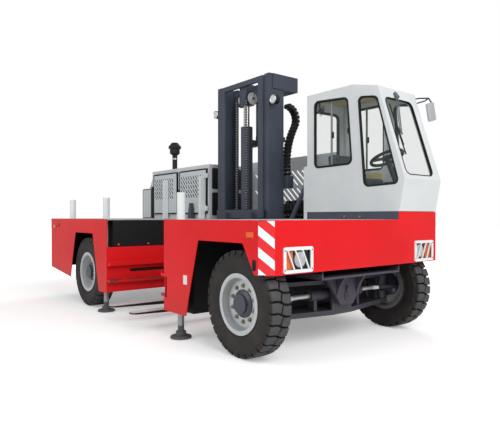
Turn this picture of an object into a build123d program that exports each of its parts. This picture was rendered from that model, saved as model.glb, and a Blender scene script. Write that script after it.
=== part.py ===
"""Side loader forklift: a low deck truck whose mast reaches out of a well in its right side.

Millimetres. X points forward, Y to the cab side, Z up. The origin is on the ground, under the
middle of the truck's length and width.
"""
from build123d import *
from math import hypot
import os

# Overall sizes
LENGTH = 5620.0
WIDTH = 2580.0
DECK_Z = 1280.0
SIDE_REACH = 170.0
NOSE_REACH = 64.0
SHEET = 10.0
DECK_PLATE = 16.0
RUN = 6.0
FIT = 0.1

REAR_X = -LENGTH / 2
NOSE_X = LENGTH / 2
FRONT_X = NOSE_X - NOSE_REACH
SIDE_Y = WIDTH / 2
INNER_Y = SIDE_Y - SHEET
DECK_UNDER = DECK_Z - DECK_PLATE
HOOD_Y = 400.0
CAB_Y = 585.0
STAKE_STRIP_Y = 285.0

# Wheels and axles
TYRE_R = 500.0
TYRE_W = 256.0
TREAD_W = 208.0
BEAD_R = 258.0
BEAD_W = 196.0
FLANGE_R = 286.0
FLANGE = 12.0
RIM_WALL = 16.0
DISC = 16.0
FRONT_OVERHANG = 506.0
REAR_OVERHANG = 1440.0
FRONT_AXLE_X = FRONT_X - FRONT_OVERHANG
REAR_AXLE_X = REAR_X + REAR_OVERHANG
FRONT_WHEEL_Y = 1090.0
REAR_WHEEL_Y = 1115.0
FRONT_DISC_Y = 30.0
REAR_DISC_Y = -30.0
HUB_R = 130.0
HUB_NOSE_R = 92.0
HUB_IN = 60.0
HUB_OUT = 92.0
HUB_STEP = 50.0
SIDEWALL_R = 385.0
SHOULDER_R = 462.0
LUGS = 30
LUG = 34.0
LUG_GAP = 20.0
LUG_STAGGER = 18.0
LUG_KINK_Y = 42.0
SPINDLE_R = 45.0
SPINDLE_OUT = 60.0
KINGPIN_Y = 940.0
KINGPIN_R = 30.0
KNUCKLE_R = 62.0
ARM_REACH = 190.0
ARM_INSET = 15.0
ARM_W = 56.0
ARM = 44.0
STEER_X = 115.0

# Front axle, its trunnions and its steering cylinder, along X from the axle line
AXLE_TOP = 665.0
AXLE_BOTTOM = 305.0
AXLE_TOP_PLATE = 40.0
AXLE_BOTTOM_PLATE = 50.0
AXLE_END_R = 70.0
AXLE_FRONT = 215.0
AXLE_BACK = 160.0
AXLE_WEB = 24.0
AXLE_WAIST_Y = 620.0
AXLE_NOSE_Y = 150.0
AXLE_RIB_Y = 820.0
AXLE_TUBE_R = 85.0
AXLE_CASE_R = 205.0
AXLE_SEAT = 110.0
TRUNNION_R = 45.0
TRUNNION_COLLAR_R = 75.0
BRACKET = 40.0
BRACKET_GAP = 30.0
BRACKET_TOP_Y = 320.0
BRACKET_FOOT_Y = 95.0
BRACKET_FOOT_Z = 410.0
BRACKET_RIB = 24.0
BRACKET_RIB_Y = 150.0
BRACKET_RIB_X = 120.0
BRACKET_RIB_H = 215.0
STEER_Z = 510.0
STEER_BARREL_R = 57.0
STEER_BARREL_Y = 390.0
STEER_ROD_R = 24.0
STEER_ROD_Y = 640.0
LINK = 36.0
LINK_W = 56.0

# Body skirts
SILL_Z = 285.0
TAIL_SILL_Z = 386.0
TAIL_Z = 476.0
VALANCE_Z = DECK_Z - 475.0
ARCH_Z = DECK_Z - 205.0
CORNER_CUT = 100.0
FRONT_ARCH = (-765.0, -532.0, 188.0, 350.0)
REAR_ARCH = (-533.0, -316.0, 357.0, 575.0)
BROW_Z = DECK_Z + 85.0
LASH_SLOT = (FRONT_X - 156.0, VALANCE_Z + 85.0)
LASH_SLOT_H = 95.0
LASH_SLOT_W = 22.0

# Well in the right side, wide enough for the mast and the frame that carries it, its rails and
# the frame behind them
MAST_X = 250.0
MAST_HALF = 590.0
FRAME_GAP = 35.0
FRAME_SIDE = 40.0
FRAME_HALF = MAST_HALF + FRAME_GAP + FRAME_SIDE
WELL_GAP = 110.0
WELL_HALF = FRAME_HALF + WELL_GAP
WELL_REAR_X = MAST_X - WELL_HALF
WELL_FRONT_X = MAST_X + WELL_HALF
RAIL_WEB = 12.0
RAIL_REACH = 85.0
RAIL_TOP_Z = 900.0
RAIL_FLANGE = 30.0
RAIL_LOW_Z = 430.0
ROLLER_R = 94.0
ROLLER_Z = RAIL_LOW_Z + RAIL_FLANGE + ROLLER_R + FIT
RAIL_HIGH_Z = ROLLER_Z + ROLLER_R + RUN
RAIL_LIP = 32.0
RAIL_BACK_Y = 1005.0
RAIL_NOTCH = 62.0
FRAME_PLATE = 20.0
TYRE_GAP = 18.0
ARCH_LAP = 7.0
REAR_BOX_X = (REAR_AXLE_X + TYRE_R + TYRE_GAP, WELL_REAR_X - RAIL_WEB)
FRONT_BOX_X = (WELL_FRONT_X + RAIL_WEB, FRONT_AXLE_X + FRONT_ARCH[0] + ARCH_LAP)
SPINE_Y = 1010.0
SPINE_Z = 330.0
FRONT_WEB_Y = 600.0
FRONT_WEB_Z = 720.0
REAR_WEB_Y = 665.0
REAR_WEB_Z = 740.0

# Jacks on the load side, each a tube through the deck with a leg and a foot
JACK_INSET = (100.0, 254.0)
JACK_X = (REAR_BOX_X[0] + JACK_INSET[0], FRONT_BOX_X[1] - JACK_INSET[1])
JACK_Y = -1195.0
JACK_TUBE_R = 45.0
JACK_LEG_R = 35.0
JACK_TOP_Z = DECK_Z + 292.0
JACK_FOOT_R = 115.0
JACK_FOOT = 24.0
JACK_LIFT = 6.0
JACK_LEG_TOP = 900.0
JACK_COLLAR_R = 56.0

# Stakes and posts
POST_X = REAR_X + 830.0
POST_Y = -1222.0
STAKE_X = (REAR_X + 980.0, WELL_REAR_X - 165.0)
STAKE_Y = 335.0
STAKE_W = 72.0
STAKE_TOP_Z = DECK_Z + 665.0
STUB_X = WELL_REAR_X - 475.0
STUB_TOP_Z = DECK_Z + 250.0

# Cab: its front is set by the nose, its rear by its length
CAB_LENGTH = 1440.0
CAB_REAR_X = NOSE_X - CAB_LENGTH
CAB_SILL_Z = DECK_Z + 90.0
KNEE_Z = CAB_SILL_Z + 350.0
ROOF_Z = 2850.0
ROOF_BREAK_X = NOSE_X - 700.0
ROOF_FRONT_X = NOSE_X - 346.0
ROOF_FRONT_Z = ROOF_Z - 80.0
CAB_WALL = 40.0
CAB_FLOOR = 20.0
CAB_POST = 60.0
CAB_POST_TOP_Z = 1950.0
GLASS = 6.0
PANE_R = 75.0
QUARTER_PANE = (
    (NOSE_X - 540.0, KNEE_Z - 75.0), (NOSE_X - 627.0, ROOF_FRONT_Z - 68.0),
    (NOSE_X - 350.0, ROOF_FRONT_Z - 110.0), (NOSE_X - 58.0, KNEE_Z - 58.0),
)
PILLAR = (160.0, 141.0)
PANE_SILL_Z = (1912.0, 1920.0)
SIDE_PANE = (
    (CAB_REAR_X + 122.0, PANE_SILL_Z[0]), (CAB_REAR_X + 122.0, ROOF_Z - 88.0),
    (QUARTER_PANE[1][0] - PILLAR[1], ROOF_Z - 128.0), (QUARTER_PANE[0][0] - PILLAR[0], PANE_SILL_Z[1]),
)
DOOR_X = (CAB_REAR_X + 70.0, NOSE_X - 694.0)
DOOR_Z = (CAB_SILL_Z + 30.0, ROOF_Z - 58.0)
DOOR_STILE = 60.0
DOOR_PANE_X = (DOOR_X[0] + DOOR_STILE, DOOR_X[1] - DOOR_STILE)
DOOR_PANE_Z = (1900.0, DOOR_Z[1] - 62.0)
HINGE_R = 9.0
HINGE_H = 40.0
HINGE_PIN_R = 5.0
HINGE_INSET = (160.0, 152.0)
HINGE_Z = (DOOR_Z[0] + HINGE_INSET[0], sum(DOOR_Z) / 2, DOOR_Z[1] - HINGE_INSET[1])
SCREEN_Y = (CAB_Y + 60.0, SIDE_Y - 120.0)
SCREEN_Z = (KNEE_Z + 42.0, ROOF_FRONT_Z - 118.0)
REAR_PANE_Y = (CAB_Y + 115.0, SIDE_Y - 115.0)
REAR_PANE_Z = (1900.0, ROOF_Z - 170.0)
DASH_X = (NOSE_X - 410.0, NOSE_X - 170.0)
DASH_Z = 1700.0
SEAT_X = (CAB_REAR_X + 270.0, DASH_X[0] - 340.0)
SEAT_Y = (CAB_Y + 135.0, SIDE_Y - 130.0)
SEAT_Z = 1760.0
SEAT_PAD = 110.0
SEAT_RAKE = 90.0
SEAT_BACK_Z = 2120.0
STEERING_AT = (DASH_X[0] - 70.0, sum(SEAT_Y) / 2, 2000.0)
STEERING_R = 190.0
STEERING_RIM = 14.0
COLUMN_R = 32.0
WIPER_TOP = (CAB_Y + 309.0, ROOF_FRONT_Z - 54.0)
WIPER_LOW = (CAB_Y + 97.0, WIPER_TOP[1] - 700.0)
WIPER_R = 9.0
WIPER_BOX = 70.0

# Hood over the engine
HOOD_X = (REAR_X + 390.0, WELL_REAR_X - 55.0)
HOOD_TOP_Z = 2130.0
HOOD_WALL = 30.0
COWL_X = REAR_X + 120.0
COWL_TOP_X = HOOD_X[0] - 60.0
COWL_BREAK_Z = 1800.0
COWL_Y = 470.0
HATCH_SPLIT_X = sum(HOOD_X) / 2 + 30.0
HATCH_GAP = 50.0
HATCH_X = (
    (HOOD_X[0] + 2 * HATCH_GAP, HATCH_SPLIT_X - HATCH_GAP),
    (HATCH_SPLIT_X + HATCH_GAP, HOOD_X[1] - HATCH_GAP),
)
HATCH_Z = (DECK_Z + 90.0, HOOD_TOP_Z - 78.0)
SLOT = (78.0, 20.0)
SLOT_LEAN = -52.0
SLOT_STEP = (73.0, 72.0)
SLOT_ROWS = 5
SLOT_EDGE = 100.0
SLOT_SHIFT = -40.0
SLOT_TOP = 112.0
BOX_X = (REAR_X + 14.0, HOOD_X[0] - 32.0)
BOX_DEPTH = 300.0
BOX_TOP_Z = 1830.0
HATCH = 22.0
HATCH_LAP = 15.0
ENGINE = (1200.0, 600.0, 700.0)
STACK_X = HOOD_X[0] + 290.0
STACK_Y = 700.0
STACK_R = 45.0
STACK_CAP_R = 115.0
STACK_TOP_Z = HOOD_TOP_Z + 530.0
GUARD_TOP_Z = 2200.0
GUARD = 20.0
GUARD_Y = SIDE_Y - 45.0
GUARD_SLOT = (330.0, 30.0)
GUARD_SLOT_LEAN = -43.0
GUARD_SLOT_STEP = (108.0, 262.0)
GUARD_SLOT_ROWS = 2
GUARD_SLOT_EDGE = 200.0
GUARD_SLOT_Z = 1760.0
STAY_R = 30.0
STAY_Y = CAB_Y + CAB_POST / 2
STAY_X = WELL_FRONT_X + 25.0
STAY_TOP_Z = CAB_POST_TOP_Z - 250.0

# Mast, nested from the outside in, as half widths from its middle and depths along Y
MAST_TOP_Z = 3240.0
MAST_FOOT_Z = 230.0
MAST_FACE_Y = 400.0
MAST_DEPTH = 265.0
CHANNEL = 25.0
CHANNEL_FLANGE = 100.0
PIVOT_Y = 525.0
PIVOT_Z = 470.0
PIVOT_R = 48.0
INNER_HALF = MAST_HALF - CHANNEL_FLANGE - RUN
INNER_FACE_Y = MAST_FACE_Y - 24.0
INNER_DEPTH = 264.0
INNER_FOOT_Z = 250.0
INNER_TOP_Z = MAST_TOP_Z - 15.0
HEAD_Y = 920.0
HEAD_Z = MAST_TOP_Z - 200.0
HEAD_PLATE = 14.0
BARREL_Y = 490.0
BARREL_R = 85.0
BARREL_BORE = 62.0
LIFT_ROD_R = 45.0
SHEAVE_X = 110.0
SHEAVE_R = 92.0
SHEAVE_W = 52.0
SHEAVE_Z = INNER_TOP_Z - 240.0
BARREL_TOP_Z = SHEAVE_Z - 390.0
CHAIN_W = 40.0
CHAIN = 16.0
CHAIN_PITCH = 44.0
CHAIN_WAIST = (26.0, 10.0)
TIE_Z = BARREL_TOP_Z - 230.0
TIE_H = 70.0
CHAIN_ANCHOR_Z = TIE_Z + 85.0
TIE = 30.0
FOOT_TIE_H = 190.0
WAIST_TIE_Z = 1190.0
WAIST_TIE_H = 140.0
HEAD_FRONT_Y = 460.0
HEAD_BEAM_Z = INNER_TOP_Z - 70.0
HEAD_BEAM = 44.0
YOKE_Z = SHEAVE_Z - 85.0
SHEAVE_PIN_R = 20.0
MAST_ROLLER_R = 102.0
MAST_ROLLER_Z = (420.0, 1000.0)
LIFT_ROD_FOOT = 700.0
HOSE_W = 110.0
HOSE_X = MAST_HALF + 20.0
HOSE = 64.0
HOSE_TOP = (MAST_FACE_Y + MAST_DEPTH + HOSE / 2 + 3.0, MAST_TOP_Z - 410.0)
HOSE_BULGE = (HOSE_TOP[0] + 150.0, HOSE_TOP[1] - 270.0)
HOSE_FOOT = (HOSE_TOP[0] + 15.0, HOSE_BULGE[1] - 690.0)
HOSE_BOX_Z = HOSE_FOOT[1] - 170.0
WORK_LAMP_R = 60.0
WORK_LAMP = 70.0
WORK_LAMP_Y = MAST_FACE_Y + 10.0
WORK_LAMP_Z = MAST_TOP_Z - 370.0

# Reach frame that carries the mast on the rails
FRAME_Y = (310.0, 985.0)
FRAME_Z = (400.0, 760.0)
FRAME_ROLLER_Y = (410.0, 880.0)
FRAME_BEAM = 90.0

# Fork carriage and forks
BAR_FACE_Y = 330.0
BAR = 40.0
BAR_HALF = INNER_HALF + 36.0
BAR_H = 120.0
BAR_TOP_Z = 1410.0
BAR_LOW_Z = 330.0
CARRIAGE_SIDE = INNER_HALF - CHANNEL_FLANGE - 19.0
CARRIAGE_BACK_Y = 590.0
CARRIAGE_ROLLER_R = 100.0
CARRIAGE_ROLLER_Z = (460.0, 1260.0)
CHAIN_LUG_Z = BAR_TOP_Z - 10.0
CHAIN_LUG = 60.0
FORK_X = 290.0
FORK_W = 150.0
FORK = 60.0
FORK_TOP_Z = 205.0
FORK_TIP = 18.0
FORK_TAPER_Y = -300.0
FORK_TIP_Y = -(SIDE_Y + SIDE_REACH)

# Lamps and mirror
LAMP_Y = (-916.0, 1043.0)
LAMP_Z = VALANCE_Z + 125.0
LAMP_W = 361.0
LAMP_H = 230.0
LAMP_FRAME = 24.0
LAMP_PROUD = 12.0
LAMP_BACK = 40.0
LAMP_SHELL = 6.0
LAMP_BARS = (-90.0, 0.0, 90.0)
LAMP_BAR_W = 12.0
LAMP_BAR_LEAN = -25.0
LENS = 20.0
MIRROR_X = NOSE_X - 171.0
MIRROR_Z = ROOF_FRONT_Z - 225.0
MIRROR_W = 150.0
MIRROR_H = 215.0
MIRROR = 30.0
MIRROR_ARM_R = 11.0
MIRROR_ARM_FOOT = (ROOF_FRONT_X - 24.0, ROOF_FRONT_Z - 75.0)
MARKER_X = (REAR_X + 178.0, FRONT_X - 204.0)
MARKER_Z = DECK_Z - 127.0
MARKER_W = 90.0
MARKER_H = 45.0
MARKER = 14.0
TAIL_LAMP_Y = 1060.0
TAIL_LAMP_Z = DECK_Z - 240.0
TAIL_LAMP_W = 160.0
TAIL_LAMP_H = 90.0


def side_view(y):
    """Sketch plane at this Y, where local x is X and local y is Z."""
    return Plane(origin=(0, y, 0), x_dir=(1, 0, 0), z_dir=(0, -1, 0))


def front_view(x):
    """Sketch plane at this X, where local x is Y and local y is Z."""
    return Plane(origin=(x, 0, 0), x_dir=(0, 1, 0), z_dir=(1, 0, 0))


def side_prism(points, y, mode=Mode.ADD, corner=0.0):
    """Outline in X and Z, carried between two Y values."""
    with BuildSketch(side_view(y[0])) as outline:
        with BuildLine():
            Polyline(*points, close=True)
        make_face()
        if corner:
            fillet(outline.vertices(), corner)
    extrude(outline.sketch, amount=y[0] - y[1], mode=mode)


def front_prism(points, x, mode=Mode.ADD, corner=0.0):
    """Outline in Y and Z, carried between two X values."""
    with BuildSketch(front_view(x[0])) as outline:
        with BuildLine():
            Polyline(*points, close=True)
        make_face()
        if corner:
            fillet(outline.vertices(), corner)
    extrude(outline.sketch, amount=x[1] - x[0], mode=mode)


def plan_prism(points, z, mode=Mode.ADD):
    """Outline in X and Y, carried between two Z values."""
    with BuildSketch(Plane.XY.offset(z[0])) as outline:
        with BuildLine():
            Polyline(*points, close=True)
        make_face()
    extrude(outline.sketch, amount=z[1] - z[0], mode=mode)


def block(x, y, z, mode=Mode.ADD):
    """Plain block between two X, two Y and two Z values."""
    with Locations((sum(x) / 2, sum(y) / 2, sum(z) / 2)):
        Box(x[1] - x[0], y[1] - y[0], z[1] - z[0], mode=mode)


def bar(start, end, radius, mode=Mode.ADD):
    """Round bar from one point to another."""
    along = Vector(*end) - Vector(*start)
    with BuildSketch(Plane(origin=start, z_dir=along)) as outline:
        Circle(radius)
    extrude(outline.sketch, amount=along.length, mode=mode)


def rectangle(low, high):
    """Corners of a rectangle from its low and high corner."""
    return (low, (high[0], low[1]), high, (low[0], high[1]))


os.makedirs("parts", exist_ok=True)


def keep(name, built):
    """Label a finished piece and write its file."""
    built.part.label = name
    export_step(built.part, f"parts/{name}.step")


# Main frame: two cross boxes beside the well, a spine behind it, webs to both ends and axle brackets
bracket_faces = (FRONT_AXLE_X - AXLE_BACK - BRACKET_GAP, FRONT_AXLE_X + AXLE_FRONT + BRACKET_GAP)
bracket_x = ((bracket_faces[0] - BRACKET, bracket_faces[0]), (bracket_faces[1], bracket_faces[1] + BRACKET))
bracket_outline = (
    (-BRACKET_TOP_Y, FRONT_WEB_Z), (-BRACKET_FOOT_Y, BRACKET_FOOT_Z),
    (BRACKET_FOOT_Y, BRACKET_FOOT_Z), (BRACKET_TOP_Y, FRONT_WEB_Z),
)

rib_x = bracket_x[1][1]
rib_outline = (
    (rib_x, FRONT_WEB_Z), (rib_x + BRACKET_RIB_X, FRONT_WEB_Z),
    (rib_x + BRACKET_RIB_X / 3, FRONT_WEB_Z - BRACKET_RIB_H / 2), (rib_x, FRONT_WEB_Z - BRACKET_RIB_H),
)

with BuildPart() as main_frame:
    for box_x in (REAR_BOX_X, FRONT_BOX_X):
        block(box_x, (JACK_Y, INNER_Y), (SILL_Z + SHEET, DECK_UNDER))
        block(
            (box_x[0] + FRAME_PLATE, box_x[1] - FRAME_PLATE),
            (JACK_Y + JACK_TUBE_R + FRAME_PLATE, INNER_Y - FRAME_PLATE),
            (SILL_Z, DECK_UNDER - FRAME_PLATE),
            mode=Mode.SUBTRACT,
        )
    block(
        (WELL_REAR_X - RAIL_WEB - FRAME_PLATE, WELL_FRONT_X + RAIL_WEB + FRAME_PLATE),
        (SPINE_Y, INNER_Y),
        (SPINE_Z, DECK_UNDER),
    )
    block(
        (WELL_REAR_X - RAIL_WEB, WELL_FRONT_X + RAIL_WEB),
        (SPINE_Y + FRAME_PLATE, INNER_Y - FRAME_PLATE),
        (SPINE_Z, DECK_UNDER - FRAME_PLATE),
        mode=Mode.SUBTRACT,
    )
    for hand in (-1, 1):
        front_web = sorted((hand * FRONT_WEB_Y, hand * (FRONT_WEB_Y - FRAME_PLATE)))
        rear_web = sorted((hand * REAR_WEB_Y, hand * (REAR_WEB_Y - FRAME_PLATE)))
        block((FRONT_BOX_X[1] - RAIL_WEB, FRONT_X - SHEET), front_web, (FRONT_WEB_Z, DECK_UNDER))
        block((REAR_X + SHEET, REAR_BOX_X[0] + RAIL_WEB), rear_web, (REAR_WEB_Z, DECK_UNDER))
    block(
        (bracket_x[0][0] - BRACKET, FRONT_X - SHEET),
        (-FRONT_WEB_Y, FRONT_WEB_Y),
        (FRONT_WEB_Z, FRONT_WEB_Z + FRAME_PLATE),
    )
    for x in bracket_x:
        front_prism(bracket_outline, x)
        bar((x[0], 0, TYRE_R), (x[1], 0, TYRE_R), TRUNNION_R + FIT, mode=Mode.SUBTRACT)
    for y in (-BRACKET_RIB_Y, BRACKET_RIB_Y):
        side_prism(rib_outline, (y - BRACKET_RIB / 2, y + BRACKET_RIB / 2))
    for x in JACK_X:
        bar((x, JACK_Y, SILL_Z), (x, JACK_Y, DECK_Z), JACK_TUBE_R, mode=Mode.SUBTRACT)
keep("main_frame", main_frame)


# Rails on the two walls of the well, each a C for the reach rollers with a plate above it
def rail_outline(wall_x, inward):
    """Rail section in X and Z, from its wall towards the middle of the well."""
    back = wall_x - inward * RAIL_WEB
    lip = wall_x + inward * RAIL_REACH
    low_top = RAIL_LOW_Z + RAIL_FLANGE
    high_top = RAIL_HIGH_Z + RAIL_FLANGE
    lip_in = lip - inward * RAIL_WEB
    return (
        (back, SILL_Z + SHEET), (wall_x, SILL_Z + SHEET), (wall_x, RAIL_LOW_Z), (lip, RAIL_LOW_Z),
        (lip, low_top), (wall_x, low_top), (wall_x, RAIL_HIGH_Z), (lip, RAIL_HIGH_Z),
        (lip, high_top + RAIL_LIP), (lip_in, high_top + RAIL_LIP), (lip_in, high_top),
        (wall_x, high_top), (wall_x, RAIL_TOP_Z), (back, RAIL_TOP_Z),
    )


with BuildPart() as reach_rails:
    for wall_x, inward in ((WELL_REAR_X, 1), (WELL_FRONT_X, -1)):
        side_prism(rail_outline(wall_x, inward), (-INNER_Y, RAIL_BACK_Y))
keep("reach_rails", reach_rails)


# Red side panels with their wheel arches, closed by the front and tail panels
def arch(axle_x, offsets, rear_z, front_z):
    """Wheel arch from its rear foot over the top to its front foot."""
    feet = [axle_x + offset for offset in offsets]
    return ((feet[0], rear_z), (feet[1], ARCH_Z), (feet[2], ARCH_Z), (feet[3], front_z))


front_arch = arch(FRONT_AXLE_X, FRONT_ARCH, SILL_Z, VALANCE_Z)
rear_arch = arch(REAR_AXLE_X, REAR_ARCH, TAIL_SILL_Z, SILL_Z)
notch_x = WELL_FRONT_X + RAIL_NOTCH
front_side = (
    (WELL_FRONT_X, SILL_Z), *front_arch, (FRONT_X, VALANCE_Z), (FRONT_X, DECK_Z), (WELL_FRONT_X, DECK_Z),
)
rear_side = (
    (REAR_X, TAIL_Z), *rear_arch, (WELL_REAR_X, SILL_Z), (WELL_REAR_X, DECK_Z), (REAR_X, DECK_Z),
)
corner_x = FRONT_X - CORNER_CUT
corner_y = -SIDE_Y + CORNER_CUT

with BuildPart() as front_skirt:
    for y in ((-SIDE_Y, -INNER_Y), (INNER_Y, SIDE_Y)):
        side_prism(front_side, y)
    front_prism(
        (
            (-SIDE_Y, VALANCE_Z), (SIDE_Y, VALANCE_Z), (SIDE_Y, BROW_Z),
            (CAB_Y, BROW_Z), (CAB_Y, DECK_Z), (-SIDE_Y, DECK_Z),
        ),
        (FRONT_X - SHEET, FRONT_X),
    )
    cut_outer = ((corner_x, -SIDE_Y), (FRONT_X, -SIDE_Y), (FRONT_X, corner_y))
    plan_prism(
        (*cut_outer, (FRONT_X - SHEET, corner_y), (FRONT_X - SHEET, -INNER_Y), (corner_x, -INNER_Y)),
        (VALANCE_Z, DECK_Z),
        mode=Mode.SUBTRACT,
    )
    plan_prism(
        (
            (corner_x - SHEET, -SIDE_Y), (corner_x, -SIDE_Y), (FRONT_X, corner_y),
            (FRONT_X, corner_y + SHEET), (FRONT_X - SHEET, corner_y + SHEET), (corner_x - SHEET, -INNER_Y),
        ),
        (VALANCE_Z, DECK_Z),
    )
    block(
        (WELL_FRONT_X, notch_x),
        (-SIDE_Y, -INNER_Y),
        (RAIL_LOW_Z, RAIL_HIGH_Z),
        mode=Mode.SUBTRACT,
    )
    with BuildSketch(side_view(-SIDE_Y)):
        with Locations(LASH_SLOT):
            SlotOverall(LASH_SLOT_H, LASH_SLOT_W, rotation=90)
    extrude(amount=-SHEET, mode=Mode.SUBTRACT)
    with BuildSketch(front_view(FRONT_X)):
        with Locations(*((y, LAMP_Z) for y in LAMP_Y)):
            Rectangle(LAMP_W - 2 * LAMP_FRAME, LAMP_H - 2 * LAMP_FRAME)
    extrude(amount=-SHEET, mode=Mode.SUBTRACT)
keep("front_skirt", front_skirt)

with BuildPart() as rear_skirt:
    for y in ((-SIDE_Y, -INNER_Y), (INNER_Y, SIDE_Y)):
        side_prism(rear_side, y)
    front_prism(rectangle((-SIDE_Y, TAIL_Z), (SIDE_Y, DECK_Z)), (REAR_X, REAR_X + SHEET))
    side_prism(rectangle((WELL_REAR_X, SPINE_Z), (WELL_FRONT_X, DECK_Z)), (INNER_Y, SIDE_Y))
    with BuildSketch(front_view(REAR_X)) as tail_lamp_holes:
        with Locations((-TAIL_LAMP_Y, TAIL_LAMP_Z), (TAIL_LAMP_Y, TAIL_LAMP_Z)):
            Rectangle(TAIL_LAMP_W, TAIL_LAMP_H)
    extrude(amount=SHEET, mode=Mode.SUBTRACT)
keep("rear_skirt", rear_skirt)


# Deck plates: the front and rear load decks, and the strip under the stakes and the hood
with BuildPart() as front_deck:
    plan_prism(
        (
            (WELL_FRONT_X, -INNER_Y), (corner_x - SHEET, -INNER_Y), (FRONT_X - SHEET, corner_y + SHEET),
            (FRONT_X - SHEET, CAB_Y), (WELL_FRONT_X, CAB_Y),
        ),
        (DECK_UNDER, DECK_Z),
    )
    bar((JACK_X[1], JACK_Y, DECK_UNDER), (JACK_X[1], JACK_Y, DECK_Z), JACK_TUBE_R, mode=Mode.SUBTRACT)
keep("front_deck", front_deck)

with BuildPart() as rear_deck:
    plan_prism(rectangle((REAR_X + SHEET, -INNER_Y), (WELL_REAR_X, STAKE_STRIP_Y)), (DECK_UNDER, DECK_Z))
    bar((JACK_X[0], JACK_Y, DECK_UNDER), (JACK_X[0], JACK_Y, DECK_Z), JACK_TUBE_R, mode=Mode.SUBTRACT)
    bar((POST_X, POST_Y, DECK_UNDER), (POST_X, POST_Y, DECK_Z), JACK_TUBE_R, mode=Mode.SUBTRACT)
keep("rear_deck", rear_deck)

with BuildPart() as side_deck:
    plan_prism(
        (
            (REAR_X + SHEET, STAKE_STRIP_Y), (WELL_REAR_X, STAKE_STRIP_Y), (WELL_REAR_X, SPINE_Y),
            (WELL_FRONT_X, SPINE_Y), (WELL_FRONT_X, CAB_Y), (CAB_REAR_X, CAB_Y),
            (CAB_REAR_X, INNER_Y), (REAR_X + SHEET, INNER_Y),
        ),
        (DECK_UNDER, DECK_Z),
    )
    for x in STAKE_X:
        block(
            (x - STAKE_W / 2, x + STAKE_W / 2),
            (STAKE_Y - STAKE_W / 2, STAKE_Y + STAKE_W / 2),
            (DECK_UNDER, DECK_Z),
            mode=Mode.SUBTRACT,
        )
keep("side_deck", side_deck)


# Posts that keep a load on the rear deck, the jacks' tubes and the dark stub between the stakes
with BuildPart() as deck_posts:
    bar((POST_X, POST_Y, DECK_UNDER), (POST_X, POST_Y, JACK_TOP_Z), JACK_TUBE_R)
    for x in STAKE_X:
        block(
            (x - STAKE_W / 2, x + STAKE_W / 2),
            (STAKE_Y - STAKE_W / 2, STAKE_Y + STAKE_W / 2),
            (DECK_UNDER, STAKE_TOP_Z),
        )
    for x in JACK_X:
        bar((x, JACK_Y, SILL_Z + SHEET), (x, JACK_Y, JACK_TOP_Z), JACK_TUBE_R)
        bar((x, JACK_Y, SILL_Z), (x, JACK_Y, JACK_TOP_Z - SHEET), JACK_LEG_R + FIT, mode=Mode.SUBTRACT)
keep("deck_posts", deck_posts)

with BuildPart() as deck_stub:
    with BuildSketch(Plane.XY.offset(DECK_Z)):
        with Locations((STUB_X, STAKE_Y)):
            Rectangle(STAKE_W * 1.4, STAKE_W)
    with BuildSketch(Plane.XY.offset(STUB_TOP_Z)):
        with Locations((STUB_X, STAKE_Y)):
            Rectangle(STAKE_W * 0.6, STAKE_W * 0.6)
    loft()
keep("deck_stub", deck_stub)


# Jack legs, which slide in their tubes
for name, x in zip(("rear_jack", "front_jack"), JACK_X):
    with BuildPart() as jack:
        bar((x, JACK_Y, JACK_LIFT), (x, JACK_Y, JACK_LIFT + JACK_FOOT), JACK_FOOT_R)
        chamfer(jack.edges().group_by(Axis.Z)[-1], JACK_FOOT / 3)
        bar((x, JACK_Y, JACK_LIFT), (x, JACK_Y, JACK_LEG_TOP), JACK_LEG_R)
        bar((x, JACK_Y, JACK_LIFT), (x, JACK_Y, JACK_LIFT + 3 * JACK_FOOT), JACK_COLLAR_R)
    keep(name, jack)


# Cab: base, walls, roof and glass, with the panels mitred where they meet
profile = (
    (CAB_REAR_X, CAB_SILL_Z),
    (CAB_REAR_X, ROOF_Z),
    (ROOF_BREAK_X, ROOF_Z),
    (ROOF_FRONT_X, ROOF_FRONT_Z),
    (NOSE_X, KNEE_Z),
    (FRONT_X, CAB_SILL_Z),
)


def mitre(before, corner, after):
    """Inner corner of two panels that meet at this corner of the profile."""
    legs = [(Vector(*b) - Vector(*a)).normalized() for a, b in ((before, corner), (corner, after))]
    normals = [Vector(leg.Y, -leg.X) for leg in legs]
    shift = (normals[0] + normals[1]) * (CAB_WALL / (1 + normals[0].dot(normals[1])))
    return (corner[0] + shift.X, corner[1] + shift.Y)


foot_run = hypot(NOSE_X - FRONT_X, KNEE_Z - CAB_SILL_Z) / (KNEE_Z - CAB_SILL_Z)
lining = (
    (CAB_REAR_X + CAB_WALL, CAB_SILL_Z),
    *(mitre(*profile[i - 1:i + 2]) for i in range(1, 5)),
    (FRONT_X - CAB_WALL * foot_run, CAB_SILL_Z),
)
cab_inside_y = (CAB_Y + CAB_WALL, SIDE_Y - CAB_WALL)
screen_slope = Vector(ROOF_FRONT_X - NOSE_X, 0, ROOF_FRONT_Z - KNEE_Z)
screen_plane = Plane(
    origin=(NOSE_X, 0, KNEE_Z),
    x_dir=(0, 1, 0),
    z_dir=Vector(0, 1, 0).cross(screen_slope),
)
slope_run = screen_slope.length / (ROOF_FRONT_Z - KNEE_Z)
screen_low, screen_high = ((z - KNEE_Z) * slope_run for z in SCREEN_Z)
pane_mid = (CAB_WALL - GLASS) / 2
hinge_x = DOOR_X[1] - RUN / 2
hinge_y = SIDE_Y + HINGE_R + RUN

with BuildPart() as cab_base:
    block((CAB_REAR_X, FRONT_X - SHEET), (CAB_Y, INNER_Y), (DECK_UNDER, CAB_SILL_Z))
    block(
        (CAB_REAR_X + CAB_WALL, FRONT_X - SHEET - CAB_WALL),
        cab_inside_y,
        (DECK_UNDER + CAB_FLOOR, CAB_SILL_Z),
        mode=Mode.SUBTRACT,
    )
keep("cab_base", cab_base)

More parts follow.
